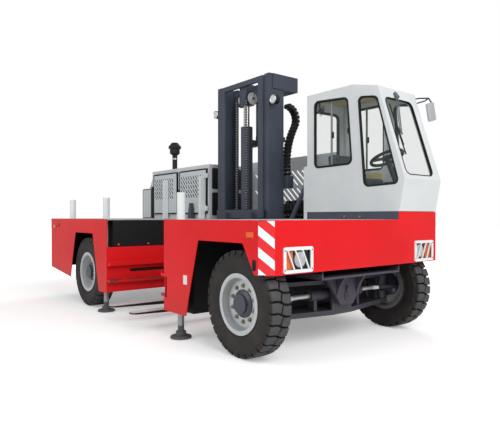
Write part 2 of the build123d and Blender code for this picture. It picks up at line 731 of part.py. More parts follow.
with BuildPart() as cab_right:
    side_prism(profile, (CAB_Y, cab_inside_y[0]))
    for pane in (SIDE_PANE, QUARTER_PANE):
        side_prism(pane, (CAB_Y, cab_inside_y[0]), mode=Mode.SUBTRACT, corner=PANE_R)
keep("cab_right", cab_right)

with BuildPart() as cab_left:
    side_prism(profile, (cab_inside_y[1], SIDE_Y))
    side_prism(QUARTER_PANE, (cab_inside_y[1], SIDE_Y), mode=Mode.SUBTRACT, corner=PANE_R)
    block(DOOR_X, (cab_inside_y[1], SIDE_Y), DOOR_Z, mode=Mode.SUBTRACT)
    for z in HINGE_Z:
        fixed_z = (z - 2 * HINGE_H - RUN, z - HINGE_H - RUN)
        block((DOOR_X[1], hinge_x + 5 * HINGE_R), (SIDE_Y, hinge_y), fixed_z)
        bar((hinge_x, hinge_y, fixed_z[0]), (hinge_x, hinge_y, fixed_z[1]), HINGE_R)
        bar((hinge_x, hinge_y, fixed_z[0]), (hinge_x, hinge_y, z + RUN), HINGE_PIN_R)
keep("cab_left", cab_left)

with BuildPart() as cab_rear:
    side_prism((profile[0], profile[1], lining[1], lining[0]), cab_inside_y)
    front_prism(
        rectangle((REAR_PANE_Y[0], REAR_PANE_Z[0]), (REAR_PANE_Y[1], REAR_PANE_Z[1])),
        (CAB_REAR_X, CAB_REAR_X + CAB_WALL),
        mode=Mode.SUBTRACT,
        corner=PANE_R,
    )
    block((CAB_REAR_X - CAB_POST, CAB_REAR_X), (CAB_Y, CAB_Y + CAB_POST), (DECK_Z, CAB_POST_TOP_Z))
keep("cab_rear", cab_rear)

with BuildPart() as cab_roof:
    side_prism((profile[1], profile[2], profile[3], lining[3], lining[2], lining[1]), cab_inside_y)
keep("cab_roof", cab_roof)

with BuildPart() as cab_front:
    side_prism((profile[3], profile[4], profile[5], lining[5], lining[4], lining[3]), cab_inside_y)
    with BuildSketch(screen_plane) as screen:
        with BuildLine():
            Polyline(*rectangle((SCREEN_Y[0], screen_low), (SCREEN_Y[1], screen_high)), close=True)
        make_face()
        fillet(screen.vertices(), PANE_R)
    extrude(amount=-2 * CAB_WALL, mode=Mode.SUBTRACT)
keep("cab_front", cab_front)

with BuildPart() as cab_glass:
    for pane in (SIDE_PANE, QUARTER_PANE):
        side_prism(pane, (CAB_Y + pane_mid, CAB_Y + pane_mid + GLASS), corner=PANE_R)
    side_prism(QUARTER_PANE, (SIDE_Y - pane_mid - GLASS, SIDE_Y - pane_mid), corner=PANE_R)
    front_prism(
        rectangle((REAR_PANE_Y[0], REAR_PANE_Z[0]), (REAR_PANE_Y[1], REAR_PANE_Z[1])),
        (CAB_REAR_X + pane_mid, CAB_REAR_X + pane_mid + GLASS),
        corner=PANE_R,
    )
    extrude(screen.sketch.moved(Location(screen_plane.z_dir * -pane_mid)), amount=-GLASS)
keep("cab_glass", cab_glass)

door_leaf_x = (DOOR_X[0] + RUN, DOOR_X[1] - RUN)
door_leaf_z = (DOOR_Z[0] + RUN, DOOR_Z[1] - RUN)
door_pane = rectangle((DOOR_PANE_X[0], DOOR_PANE_Z[0]), (DOOR_PANE_X[1], DOOR_PANE_Z[1]))

with BuildPart() as cab_door:
    block(door_leaf_x, (cab_inside_y[1], SIDE_Y), door_leaf_z)
    side_prism(door_pane, (cab_inside_y[1], SIDE_Y), mode=Mode.SUBTRACT, corner=PANE_R)
    for z in HINGE_Z:
        block((hinge_x - 5 * HINGE_R, hinge_x), (SIDE_Y, hinge_y), (z - HINGE_H, z))
        bar((hinge_x, hinge_y, z - HINGE_H), (hinge_x, hinge_y, z), HINGE_R)
        bar((hinge_x, hinge_y, z - HINGE_H), (hinge_x, hinge_y, z), HINGE_PIN_R + FIT, mode=Mode.SUBTRACT)
keep("cab_door", cab_door)

with BuildPart() as door_glass:
    side_prism(door_pane, (SIDE_Y - pane_mid - GLASS, SIDE_Y - pane_mid), corner=PANE_R)
keep("door_glass", door_glass)


# Driver's seat and console, seen through the glass
floor_z = DECK_UNDER + CAB_FLOOR
column_foot = (DASH_X[0] + SEAT_PAD, STEERING_AT[1], DASH_Z - SEAT_PAD)
column_axis = Vector(*STEERING_AT) - Vector(*column_foot)

with BuildPart() as driver_seat:
    block(SEAT_X, SEAT_Y, (floor_z, SEAT_Z - SEAT_PAD))
    side_prism(
        (
            (SEAT_X[0], SEAT_Z - SEAT_PAD), (SEAT_X[1] + SEAT_PAD, SEAT_Z - SEAT_PAD),
            (SEAT_X[1] + SEAT_PAD, SEAT_Z), (SEAT_X[0] + SEAT_PAD, SEAT_Z),
            (SEAT_X[0] - SEAT_RAKE + SEAT_PAD, SEAT_BACK_Z), (SEAT_X[0] - SEAT_RAKE, SEAT_BACK_Z),
        ),
        SEAT_Y,
    )
keep("driver_seat", driver_seat)

with BuildPart() as driver_console:
    side_prism(
        (
            (DASH_X[0], floor_z), (DASH_X[1], floor_z),
            (DASH_X[1], DASH_Z), (DASH_X[0] + SEAT_PAD / 2, DASH_Z),
        ),
        SEAT_Y,
    )
    bar(column_foot, STEERING_AT, COLUMN_R)
    with BuildSketch(Plane(origin=STEERING_AT, z_dir=column_axis)) as steering_wheel:
        Circle(STEERING_R + STEERING_RIM)
        Circle(STEERING_R - STEERING_RIM, mode=Mode.SUBTRACT)
        with PolarLocations(0, 3):
            Rectangle(STEERING_R, 2 * STEERING_RIM, align=(Align.MIN, Align.CENTER))
        Circle(2 * COLUMN_R)
    extrude(steering_wheel.sketch, amount=STEERING_RIM, both=True)
keep("driver_console", driver_console)


def on_screen(y, z, proud):
    """Point over the windscreen's face, from its Y and Z."""
    return screen_plane.from_local_coords((y, (z - KNEE_Z) * slope_run, proud))


with BuildPart() as wiper:
    bar(on_screen(*WIPER_TOP, WIPER_R), on_screen(*WIPER_LOW, WIPER_R), WIPER_R)
    with BuildSketch(screen_plane) as wiper_box:
        with Locations((WIPER_TOP[0], (WIPER_TOP[1] - KNEE_Z) * slope_run)):
            Rectangle(WIPER_BOX, WIPER_BOX / 2)
    extrude(wiper_box.sketch, amount=3 * WIPER_R)
keep("wiper", wiper)


# Engine hood with its two hatches, the box and cowl behind it, the engine and the air intake
box_y = (HOOD_Y - RUN, HOOD_Y - RUN + BOX_DEPTH)
cowl = (
    (HOOD_X[0], DECK_Z), (HOOD_X[0], HOOD_TOP_Z), (COWL_TOP_X, HOOD_TOP_Z),
    (COWL_X, COWL_BREAK_Z), (COWL_X, DECK_Z),
)

with BuildPart() as hood:
    block(HOOD_X, (HOOD_Y, INNER_Y), (DECK_Z, HOOD_TOP_Z))
    side_prism(cowl, (COWL_Y, INNER_Y))
    block((COWL_X, HOOD_X[0]), (COWL_Y, box_y[1] + RUN), (DECK_Z, BOX_TOP_Z + RUN), mode=Mode.SUBTRACT)
    block(
        (HOOD_X[0] + HOOD_WALL, HOOD_X[1] - HOOD_WALL),
        (HOOD_Y + HOOD_WALL, INNER_Y - HOOD_WALL),
        (DECK_Z, HOOD_TOP_Z - HOOD_WALL),
        mode=Mode.SUBTRACT,
    )
    for hatch_x in HATCH_X:
        block(hatch_x, (HOOD_Y, HOOD_Y + HOOD_WALL), HATCH_Z, mode=Mode.SUBTRACT)
keep("hood", hood)

with BuildPart() as hood_hatches:
    for hatch_x in HATCH_X:
        leaf = rectangle(
            (hatch_x[0] - HATCH_LAP, HATCH_Z[0] - HATCH_LAP), (hatch_x[1] + HATCH_LAP, HATCH_Z[1] + HATCH_LAP)
        )
        side_prism(leaf, (HOOD_Y - HATCH, HOOD_Y))
        columns = 1 + int((hatch_x[1] - hatch_x[0] - 2 * SLOT_EDGE) // SLOT_STEP[0])
        with BuildSketch(side_view(HOOD_Y - HATCH)) as slots:
            with Locations((sum(hatch_x) / 2 + SLOT_SHIFT, HATCH_Z[1] - SLOT_TOP)):
                with GridLocations(*SLOT_STEP, columns, SLOT_ROWS, align=(Align.CENTER, Align.MAX)):
                    Rectangle(*SLOT, rotation=SLOT_LEAN)
        extrude(slots.sketch, amount=-HATCH, mode=Mode.SUBTRACT)
keep("hood_hatches", hood_hatches)

with BuildPart() as rear_box:
    block(BOX_X, box_y, (DECK_Z, BOX_TOP_Z))
    fillet(rear_box.edges().filter_by(Axis.Y).group_by(Axis.Z)[-1], 2 * HATCH_LAP)
keep("rear_box", rear_box)

with BuildPart() as engine:
    with Locations((sum(HOOD_X) / 2, (HOOD_Y + INNER_Y) / 2, DECK_Z)):
        Box(*ENGINE, align=(Align.CENTER, Align.CENTER, Align.MIN))
keep("engine", engine)

with BuildPart() as air_intake:
    with BuildSketch(Plane(origin=(STACK_X, STACK_Y, 0), x_dir=(1, 0, 0), z_dir=(0, -1, 0))) as stack:
        with BuildLine():
            Polyline(
                (0, HOOD_TOP_Z), (STACK_R, HOOD_TOP_Z), (STACK_R, STACK_TOP_Z - 2 * STACK_CAP_R),
                (2 * STACK_R, STACK_TOP_Z - 1.7 * STACK_CAP_R), (2 * STACK_R, STACK_TOP_Z - STACK_CAP_R),
                (STACK_CAP_R, STACK_TOP_Z - 0.9 * STACK_CAP_R),
                (STACK_CAP_R, STACK_TOP_Z - 0.6 * STACK_CAP_R),
                (STACK_CAP_R / 2, STACK_TOP_Z), (0, STACK_TOP_Z),
                close=True,
            )
        make_face()
    revolve(stack.sketch, axis=Axis((STACK_X, STACK_Y, 0), (0, 0, 1)))
keep("air_intake", air_intake)

with BuildPart() as side_guard:
    guard_x = (HOOD_X[1], CAB_REAR_X)
    side_prism(rectangle((guard_x[0], DECK_Z), (guard_x[1], GUARD_TOP_Z)), (GUARD_Y, GUARD_Y + GUARD))
    slot_count = 1 + int((guard_x[1] - guard_x[0] - 2 * GUARD_SLOT_EDGE) // GUARD_SLOT_STEP[0])
    with BuildSketch(side_view(GUARD_Y)) as guard_slots:
        with Locations((sum(guard_x) / 2, GUARD_SLOT_Z)):
            with GridLocations(*GUARD_SLOT_STEP, slot_count, GUARD_SLOT_ROWS):
                Rectangle(*GUARD_SLOT, rotation=GUARD_SLOT_LEAN)
    extrude(guard_slots.sketch, amount=-GUARD, mode=Mode.SUBTRACT)
keep("side_guard", side_guard)

with BuildPart() as cab_stay:
    post_face = CAB_REAR_X - CAB_POST
    stay_foot = Vector(STAY_X, STAY_Y, DECK_Z)
    stay_run = Vector(post_face, STAY_Y, STAY_TOP_Z) - stay_foot
    stay_end = stay_run.normalized() * (3 * STAY_R)
    bar(tuple(stay_foot - stay_end), tuple(stay_foot + stay_run + stay_end), STAY_R)
    stay_side = (STAY_Y - 2 * STAY_R, STAY_Y + 2 * STAY_R)
    block((0, NOSE_X), stay_side, (0, DECK_Z), mode=Mode.SUBTRACT)
    block((post_face, NOSE_X), stay_side, (0, ROOF_Z), mode=Mode.SUBTRACT)
keep("cab_stay", cab_stay)


# Lamps: framed headlamps in the front panel, side markers and tail lamps
lens_w = LAMP_W - 2 * LAMP_FRAME - 2 * LAMP_SHELL
lens_h = LAMP_H - 2 * LAMP_FRAME - 2 * LAMP_SHELL
lens_x = (FRONT_X - LAMP_BACK + LAMP_SHELL, FRONT_X - LAMP_BACK + LAMP_SHELL + LENS)

with BuildPart() as headlamp_frames:
    with BuildSketch(front_view(FRONT_X - LAMP_BACK)) as buckets:
        with Locations(*((y, LAMP_Z) for y in LAMP_Y)):
            Rectangle(LAMP_W - 2 * LAMP_FRAME, LAMP_H - 2 * LAMP_FRAME)
    extrude(buckets.sketch, amount=LAMP_BACK)
    with BuildSketch(front_view(FRONT_X)) as bezels:
        with Locations(*((y, LAMP_Z) for y in LAMP_Y)):
            RectangleRounded(LAMP_W, LAMP_H, LAMP_FRAME)
    extrude(bezels.sketch, amount=LAMP_PROUD)
    with BuildSketch(front_view(FRONT_X + LAMP_PROUD)) as hollows:
        with Locations(*((y, LAMP_Z) for y in LAMP_Y)):
            Rectangle(lens_w, lens_h)
    extrude(hollows.sketch, amount=-(LAMP_PROUD + LAMP_BACK - LAMP_SHELL), mode=Mode.SUBTRACT)
    with BuildSketch(front_view(FRONT_X)) as bars:
        for y in LAMP_Y:
            bar_lean = LAMP_BAR_LEAN if y > 0 else -LAMP_BAR_LEAN
            with Locations(*((y + step, LAMP_Z) for step in LAMP_BARS)):
                Rectangle(LAMP_BAR_W, LAMP_H - LAMP_FRAME, rotation=bar_lean)
    extrude(bars.sketch, amount=LAMP_PROUD)
keep("headlamp_frames", headlamp_frames)

with BuildPart() as lamp_lenses:
    for y in LAMP_Y:
        outboard = 1 if y > 0 else -1
        clear_y = sorted((y - outboard * lens_w / 2, y + outboard * lens_w / 6))
        block(lens_x, clear_y, (LAMP_Z - lens_h / 2, LAMP_Z + lens_h / 2))
keep("lamp_lenses", lamp_lenses)

with BuildPart() as amber_lenses:
    for y in LAMP_Y:
        outboard = 1 if y > 0 else -1
        amber_y = sorted((y + outboard * lens_w / 6, y + outboard * lens_w / 2))
        block(lens_x, amber_y, (LAMP_Z - lens_h / 2, LAMP_Z + lens_h / 2))
        for x in MARKER_X:
            marker_y = sorted((outboard * SIDE_Y, outboard * (SIDE_Y + MARKER)))
            with Locations((x, sum(marker_y) / 2, MARKER_Z)):
                Box(MARKER_W, MARKER, MARKER_H)
keep("amber_lenses", amber_lenses)

with BuildPart() as tail_lamps:
    extrude(tail_lamp_holes.sketch, amount=SHEET)
keep("tail_lamps", tail_lamps)

with BuildPart() as mirror:
    mirror_y = (SIDE_Y + SIDE_REACH - MIRROR_W, SIDE_Y + SIDE_REACH)
    with Locations((MIRROR_X, sum(mirror_y) / 2, MIRROR_Z)):
        Box(MIRROR, MIRROR_W, MIRROR_H)
    arm_y = SIDE_Y + MIRROR_ARM_R
    arm_foot = (MIRROR_ARM_FOOT[0], arm_y, MIRROR_ARM_FOOT[1])
    bar(arm_foot, (MIRROR_X, mirror_y[0] + MIRROR, MIRROR_Z), MIRROR_ARM_R)
    block(
        (MIRROR_ARM_FOOT[0] - MIRROR, MIRROR_ARM_FOOT[0] + MIRROR), (SIDE_Y, arm_y),
        (MIRROR_ARM_FOOT[1] - MIRROR, MIRROR_ARM_FOOT[1] + MIRROR),
    )
keep("mirror", mirror)


# Wheels: a dished disc wheel on its hub, and its tyre, at each corner
def wheel_plane(axle_x, wheel_y, hand):
    """Sketch plane through a wheel's axis, where local x is radius and local y points outboard."""
    return Plane(origin=(axle_x, hand * wheel_y, TYRE_R), x_dir=(0, 0, 1), z_dir=(-hand, 0, 0))


def wheel_outline(disc_y):
    """Half section of hub, disc and rim."""
    rim_in = BEAD_R - RIM_WALL
    half = BEAD_W / 2
    edge = half + FLANGE
    disc = (disc_y - DISC / 2, disc_y + DISC / 2)
    bore = SPINDLE_R + FIT
    return (
        (bore, -HUB_IN), (HUB_R, -HUB_IN), (HUB_R, disc[0]), (rim_in, disc[0]), (rim_in, -edge),
        (FLANGE_R, -edge), (FLANGE_R, -half), (BEAD_R, -half), (BEAD_R, half), (FLANGE_R, half),
        (FLANGE_R, edge), (rim_in, edge), (rim_in, disc[1]), (HUB_R, disc[1]), (HUB_R, HUB_STEP),
        (HUB_NOSE_R, HUB_STEP + DISC), (HUB_NOSE_R, HUB_OUT), (0, HUB_OUT), (0, SPINDLE_OUT + RUN),
        (bore, SPINDLE_OUT + RUN),
    )


tyre_half = (
    (BEAD_R, BEAD_W / 2), (FLANGE_R + RUN, BEAD_W / 2), (FLANGE_R + 4 * RUN, BEAD_W / 2 + 3 * RUN),
    (SIDEWALL_R, TYRE_W / 2), (SHOULDER_R, TYRE_W / 2 - RUN), (TYRE_R, TREAD_W / 2),
)
tyre_outline = (*tyre_half, *((r, -y) for r, y in reversed(tyre_half)))
groove_line = (
    (TYRE_W, LUG_STAGGER), (LUG_KINK_Y, LUG_STAGGER), (-LUG_KINK_Y, -LUG_STAGGER), (-TYRE_W, -LUG_STAGGER),
)
groove = (
    *((y, s + LUG_GAP / 2) for y, s in groove_line),
    *((y, s - LUG_GAP / 2) for y, s in reversed(groove_line)),
)
tyre_axis = Axis((0, 0, TYRE_R), (0, 1, 0))
lug_turn = 360 / LUGS
groove_out = Vector(0, 0, 1).rotate(Axis.Y, lug_turn / 2)

with BuildPart() as lug_sector:
    with BuildSketch(wheel_plane(0, 0, 1)) as section:
        with BuildLine():
            Polyline(*tyre_outline, close=True)
        make_face()
    revolve(section.sketch, axis=tyre_axis, revolution_arc=lug_turn)
    groove_floor = Vector(0, 0, TYRE_R) + groove_out * (TYRE_R - LUG)
    with BuildSketch(Plane(origin=groove_floor, x_dir=(0, 1, 0), z_dir=groove_out)) as gap:
        with BuildLine():
            Polyline(*groove, close=True)
        make_face()
    extrude(gap.sketch, amount=2 * LUG, mode=Mode.SUBTRACT)

with BuildPart() as lugged_tyre:
    add([lug_sector.part.rotate(tyre_axis, lug * lug_turn) for lug in range(LUGS)], clean=False)

# Columns: corner, axle X, wheel Y, side of the truck, disc's place in the rim
corners = (
    ("front_right", FRONT_AXLE_X, FRONT_WHEEL_Y, -1, FRONT_DISC_Y),
    ("front_left", FRONT_AXLE_X, FRONT_WHEEL_Y, 1, FRONT_DISC_Y),
    ("rear_right", REAR_AXLE_X, REAR_WHEEL_Y, -1, REAR_DISC_Y),
    ("rear_left", REAR_AXLE_X, REAR_WHEEL_Y, 1, REAR_DISC_Y),
)
for corner, axle_x, wheel_y, hand, disc_y in corners:
    plane = wheel_plane(axle_x, wheel_y, hand)
    with BuildPart() as wheel:
        with BuildSketch(plane) as section:
            with BuildLine():
                Polyline(*wheel_outline(disc_y), close=True)
            make_face()
        revolve(section.sketch, axis=Axis(plane.origin, (0, 1, 0)))
    keep(f"{corner}_wheel", wheel)
    with BuildPart() as tyre:
        with Locations((axle_x, hand * wheel_y, 0)):
            add(lugged_tyre.part)
    keep(f"{corner}_tyre", tyre)


# Steer axle: two plates that hold the kingpins, with webs between them and a trunnion at each face
axle_inside = (AXLE_BOTTOM + AXLE_BOTTOM_PLATE, AXLE_TOP - AXLE_TOP_PLATE)
axle_face = (FRONT_AXLE_X - AXLE_BACK, FRONT_AXLE_X + AXLE_FRONT)
steer_line = FRONT_AXLE_X + STEER_X
steer_ends = ((steer_line, -STEER_BARREL_Y, STEER_Z), (steer_line, STEER_BARREL_Y, STEER_Z))

with BuildPart() as front_axle:
    with BuildSketch() as axle_plate:
        with BuildLine():
            Polyline(
                (FRONT_AXLE_X + AXLE_FRONT, -AXLE_NOSE_Y), (FRONT_AXLE_X + AXLE_FRONT, AXLE_NOSE_Y),
                (FRONT_AXLE_X + STEER_X, AXLE_WAIST_Y), (FRONT_AXLE_X + AXLE_END_R, KINGPIN_Y),
                (FRONT_AXLE_X - AXLE_END_R, KINGPIN_Y), (FRONT_AXLE_X - AXLE_BACK, AXLE_WAIST_Y),
                (FRONT_AXLE_X - AXLE_BACK, -AXLE_WAIST_Y), (FRONT_AXLE_X - AXLE_END_R, -KINGPIN_Y),
                (FRONT_AXLE_X + AXLE_END_R, -KINGPIN_Y), (FRONT_AXLE_X + STEER_X, -AXLE_WAIST_Y),
                close=True,
            )
        make_face()
        with Locations((FRONT_AXLE_X, KINGPIN_Y), (FRONT_AXLE_X, -KINGPIN_Y)):
            Circle(AXLE_END_R)
            Circle(KINGPIN_R + FIT, mode=Mode.SUBTRACT)
    extrude(axle_plate.sketch.moved(Location((0, 0, AXLE_BOTTOM))), amount=AXLE_BOTTOM_PLATE)
    extrude(axle_plate.sketch.moved(Location((0, 0, AXLE_TOP - AXLE_TOP_PLATE))), amount=AXLE_TOP_PLATE)
    block((axle_face[0], axle_face[0] + AXLE_WEB), (-AXLE_WAIST_Y, AXLE_WAIST_Y), axle_inside)
    block((axle_face[1] - AXLE_WEB, axle_face[1]), (-AXLE_NOSE_Y, AXLE_NOSE_Y), axle_inside)
    for hand in (-1, 1):
        rib_y = sorted((hand * AXLE_RIB_Y, hand * (AXLE_RIB_Y - AXLE_WEB)))
        block((FRONT_AXLE_X - AXLE_END_R, FRONT_AXLE_X + AXLE_END_R / 2), rib_y, axle_inside)
        foot_y = sorted((hand * (STEER_BARREL_Y - BRACKET), hand * (STEER_BARREL_Y - 2 * BRACKET)))
        block((steer_line - BRACKET, steer_line + BRACKET), foot_y, (axle_inside[0], STEER_Z))
    for face, out in zip(axle_face, (-1, 1)):
        pin_end = face + out * (BRACKET_GAP + BRACKET + RUN)
        bar((face, 0, TYRE_R), (face + out * BRACKET_GAP, 0, TYRE_R), TRUNNION_COLLAR_R)
        bar((face, 0, TYRE_R), (pin_end, 0, TYRE_R), TRUNNION_R)
    bar(*steer_ends, STEER_BARREL_R)
    bar(*steer_ends, STEER_ROD_R + FIT, mode=Mode.SUBTRACT)
keep("front_axle", front_axle)

arm_pin = (FRONT_AXLE_X + ARM_REACH, KINGPIN_Y - ARM_INSET)
with BuildPart() as steer_rod:
    bar((steer_line, -STEER_ROD_Y, STEER_Z), (steer_line, STEER_ROD_Y, STEER_Z), STEER_ROD_R)
    for hand in (-1, 1):
        with BuildSketch(Plane.XY.offset(STEER_Z - LINK / 2)) as link:
            with Locations((steer_line, hand * STEER_ROD_Y), (arm_pin[0], hand * arm_pin[1])):
                Circle(LINK_W / 2)
            make_hull()
        extrude(link.sketch, amount=LINK)
keep("steer_rod", steer_rod)

for name, hand in (("right_knuckle", -1), ("left_knuckle", 1)):
    pin = (FRONT_AXLE_X, hand * KINGPIN_Y)
    spindle_end = hand * (FRONT_WHEEL_Y + SPINDLE_OUT)
    with BuildPart() as knuckle:
        bar((*pin, axle_inside[0] + RUN / 2), (*pin, axle_inside[1] - RUN / 2), KNUCKLE_R)
        bar((*pin, AXLE_BOTTOM - RUN), (*pin, AXLE_TOP + RUN), KINGPIN_R)
        bar((*pin, TYRE_R), (FRONT_AXLE_X, spindle_end, TYRE_R), SPINDLE_R)
        bar(
            (FRONT_AXLE_X, hand * (KINGPIN_Y + KNUCKLE_R - 2 * RUN), TYRE_R),
            (FRONT_AXLE_X, hand * (FRONT_WHEEL_Y - HUB_IN - RUN), TYRE_R),
            HUB_R - 2 * DISC,
        )
        with BuildSketch(Plane.XY.offset(STEER_Z - LINK / 2 - RUN - ARM)) as arm:
            with Locations(pin):
                Circle(KNUCKLE_R - RUN)
            with Locations((arm_pin[0], hand * arm_pin[1])):
                Circle(ARM_W / 2)
            make_hull()
        extrude(arm.sketch, amount=ARM)
    keep(name, knuckle)


# Drive axle: a tube with a round middle case, held to the rear webs by two seats
with BuildPart() as rear_axle:
    tube_end = REAR_WHEEL_Y - HUB_IN - RUN
    bar((REAR_AXLE_X, -tube_end, TYRE_R), (REAR_AXLE_X, tube_end, TYRE_R), AXLE_TUBE_R)
    spindle_end = REAR_WHEEL_Y + SPINDLE_OUT
    bar((REAR_AXLE_X, -spindle_end, TYRE_R), (REAR_AXLE_X, spindle_end, TYRE_R), SPINDLE_R)
    with Locations((REAR_AXLE_X, 0, TYRE_R)):
        Sphere(AXLE_CASE_R)
    for hand in (-1, 1):
        seat_y = sorted((hand * (REAR_WEB_Y + BRACKET), hand * (REAR_WEB_Y - 2 * BRACKET)))
        block((REAR_AXLE_X - AXLE_SEAT, REAR_AXLE_X + AXLE_SEAT), seat_y, (TYRE_R, REAR_WEB_Z))
keep("rear_axle", rear_axle)


# Reach frame: side plates on rollers, tied behind the mast
with BuildPart() as reach_frame:
    side_in = FRAME_HALF - FRAME_SIDE
    for hand in (-1, 1):
        plate_x = sorted((MAST_X + hand * side_in, MAST_X + hand * FRAME_HALF))
        block(plate_x, FRAME_Y, FRAME_Z)
        roller_end = MAST_X + hand * (WELL_HALF - 3 * RUN)
        for y in FRAME_ROLLER_Y:
            bar((plate_x[0], y, ROLLER_Z), (plate_x[1], y, ROLLER_Z), TRUNNION_R)
            bar((MAST_X + hand * FRAME_HALF, y, ROLLER_Z), (roller_end, y, ROLLER_Z), ROLLER_R)
        bar((plate_x[0], PIVOT_Y, PIVOT_Z), (plate_x[1], PIVOT_Y, PIVOT_Z), PIVOT_R + FIT, mode=Mode.SUBTRACT)
    front_prism(
        (
            (FRAME_Y[1] - FRAME_BEAM, FRAME_Z[0]), (FRAME_Y[1], FRAME_Z[0]), (FRAME_Y[1], FRAME_Z[1]),
            (FRAME_Y[1] - FRAME_BEAM, FRAME_Z[1]), (FRAME_Y[1] - FRAME_BEAM, FRAME_Z[1] - FRAME_SIDE),
            (FRAME_Y[1] - FRAME_SIDE, FRAME_Z[1] - FRAME_SIDE),
            (FRAME_Y[1] - FRAME_SIDE, FRAME_Z[0] + FRAME_SIDE),
            (FRAME_Y[1] - FRAME_BEAM, FRAME_Z[0] + FRAME_SIDE),
        ),
        (MAST_X - side_in, MAST_X + side_in),
    )
keep("reach_frame", reach_frame)


# Mast: outer channels tied at the back, and inner channels that run between them
def channel(half, face_y, depth, hand):
    """Plan outline of one mast channel, open towards the middle of the mast."""
    outer = MAST_X + hand * half
    web = outer - hand * CHANNEL
    tip = outer - hand * CHANNEL_FLANGE
    back = face_y + depth
    return (
        (tip, face_y), (outer, face_y), (outer, back), (tip, back), (tip, back - CHANNEL),
        (web, back - CHANNEL), (web, face_y + CHANNEL), (tip, face_y + CHANNEL),
    )


def across(half):
    """Two X values, this far each side of the middle of the mast."""
    return (MAST_X - half, MAST_X + half)


mast_back = MAST_FACE_Y + MAST_DEPTH
inner_back = INNER_FACE_Y + INNER_DEPTH
chain_front_y = (BARREL_Y - SHEAVE_R - CHAIN, BARREL_Y - SHEAVE_R)
chain_rear_y = (BARREL_Y + SHEAVE_R, BARREL_Y + SHEAVE_R + CHAIN)
chain_mid = (MAST_X - SHEAVE_X, MAST_X + SHEAVE_X)
chain_x = [(x - CHAIN_W / 2, x + CHAIN_W / 2) for x in chain_mid]

with BuildPart() as outer_mast:
    for hand in (-1, 1):
        plan_prism(channel(MAST_HALF, MAST_FACE_Y, MAST_DEPTH, hand), (MAST_FOOT_Z, MAST_TOP_Z))
        bar(
            (MAST_X + hand * (MAST_HALF - CHANNEL / 2), PIVOT_Y, PIVOT_Z),
            (MAST_X + hand * (FRAME_HALF - FIT), PIVOT_Y, PIVOT_Z),
            PIVOT_R,
        )
        cheek_x = sorted((MAST_X + hand * MAST_HALF, MAST_X + hand * (MAST_HALF + HEAD_PLATE)))
        block(cheek_x, (HEAD_FRONT_Y, HEAD_Y), (HEAD_Z, MAST_TOP_Z))
    block(across(MAST_HALF + HEAD_PLATE), (HEAD_Y - HEAD_PLATE, HEAD_Y), (HEAD_Z, MAST_TOP_Z))
    block(across(MAST_HALF), (mast_back, mast_back + TIE), (MAST_FOOT_Z, MAST_FOOT_Z + FOOT_TIE_H))
    block(across(MAST_HALF), (mast_back, mast_back + TIE), (WAIST_TIE_Z, WAIST_TIE_Z + WAIST_TIE_H))
    block(across(BARREL_R), (BARREL_Y - BARREL_R, mast_back), (MAST_FOOT_Z, MAST_FOOT_Z + TIE))
    tie_z = (TIE_Z - TIE_H / 2, TIE_Z + TIE_H / 2)
    block((chain_x[0][0], MAST_X + MAST_HALF), (mast_back, mast_back + TIE), tie_z)
    block((chain_x[0][0], chain_x[1][1]), (BARREL_Y, mast_back), tie_z)
    for x in chain_x:
        block(x, chain_rear_y, (tie_z[1], CHAIN_ANCHOR_Z))
    bar((MAST_X, BARREL_Y, tie_z[0]), (MAST_X, BARREL_Y, tie_z[1]), BARREL_R, mode=Mode.SUBTRACT)
keep("outer_mast", outer_mast)

gland_z = BARREL_TOP_Z - TIE
with BuildPart() as lift_barrel:
    bar((MAST_X, BARREL_Y, MAST_FOOT_Z + TIE), (MAST_X, BARREL_Y, BARREL_TOP_Z), BARREL_R)
    for bore, low, high in (
        (BARREL_BORE, MAST_FOOT_Z + 2 * TIE, gland_z), (LIFT_ROD_R + FIT, gland_z, BARREL_TOP_Z),
    ):
        bar((MAST_X, BARREL_Y, low), (MAST_X, BARREL_Y, high), bore, mode=Mode.SUBTRACT)
keep("lift_barrel", lift_barrel)

with BuildPart() as hose_carrier:
    with BuildSketch(front_view(MAST_X + HOSE_X - HOSE_W / 2)) as loop:
        with BuildLine():
            upper = TangentArc(HOSE_TOP, HOSE_BULGE, tangent=(1, 0))
            TangentArc(upper @ 1, HOSE_FOOT, tangent=upper % 1)
            offset(amount=HOSE / 2)
        make_face()
    extrude(loop.sketch, amount=HOSE_W)
    block(
        (MAST_X + HOSE_X - HOSE_W / 2, MAST_X + HOSE_X + HOSE_W / 2), (mast_back, HOSE_FOOT[0] + HOSE),
        (HOSE_BOX_Z, HOSE_FOOT[1]),
    )
keep("hose_carrier", hose_carrier)

with BuildPart() as work_lamps:
    for hand in (-1, 1):
        lamp_x = MAST_X + hand * (MAST_HALF + WORK_LAMP_R + 2 * RUN)
        bar((lamp_x, WORK_LAMP_Y, WORK_LAMP_Z), (lamp_x, WORK_LAMP_Y + WORK_LAMP, WORK_LAMP_Z), WORK_LAMP_R)
        arm_y = WORK_LAMP_Y + WORK_LAMP / 2
        bar((MAST_X + hand * MAST_HALF, arm_y, WORK_LAMP_Z), (lamp_x, arm_y, WORK_LAMP_Z), CHAIN)
keep("work_lamps", work_lamps)

foot_tie_z = MAST_FOOT_Z + 2 * TIE
beam_back = INNER_FACE_Y + HEAD_BEAM

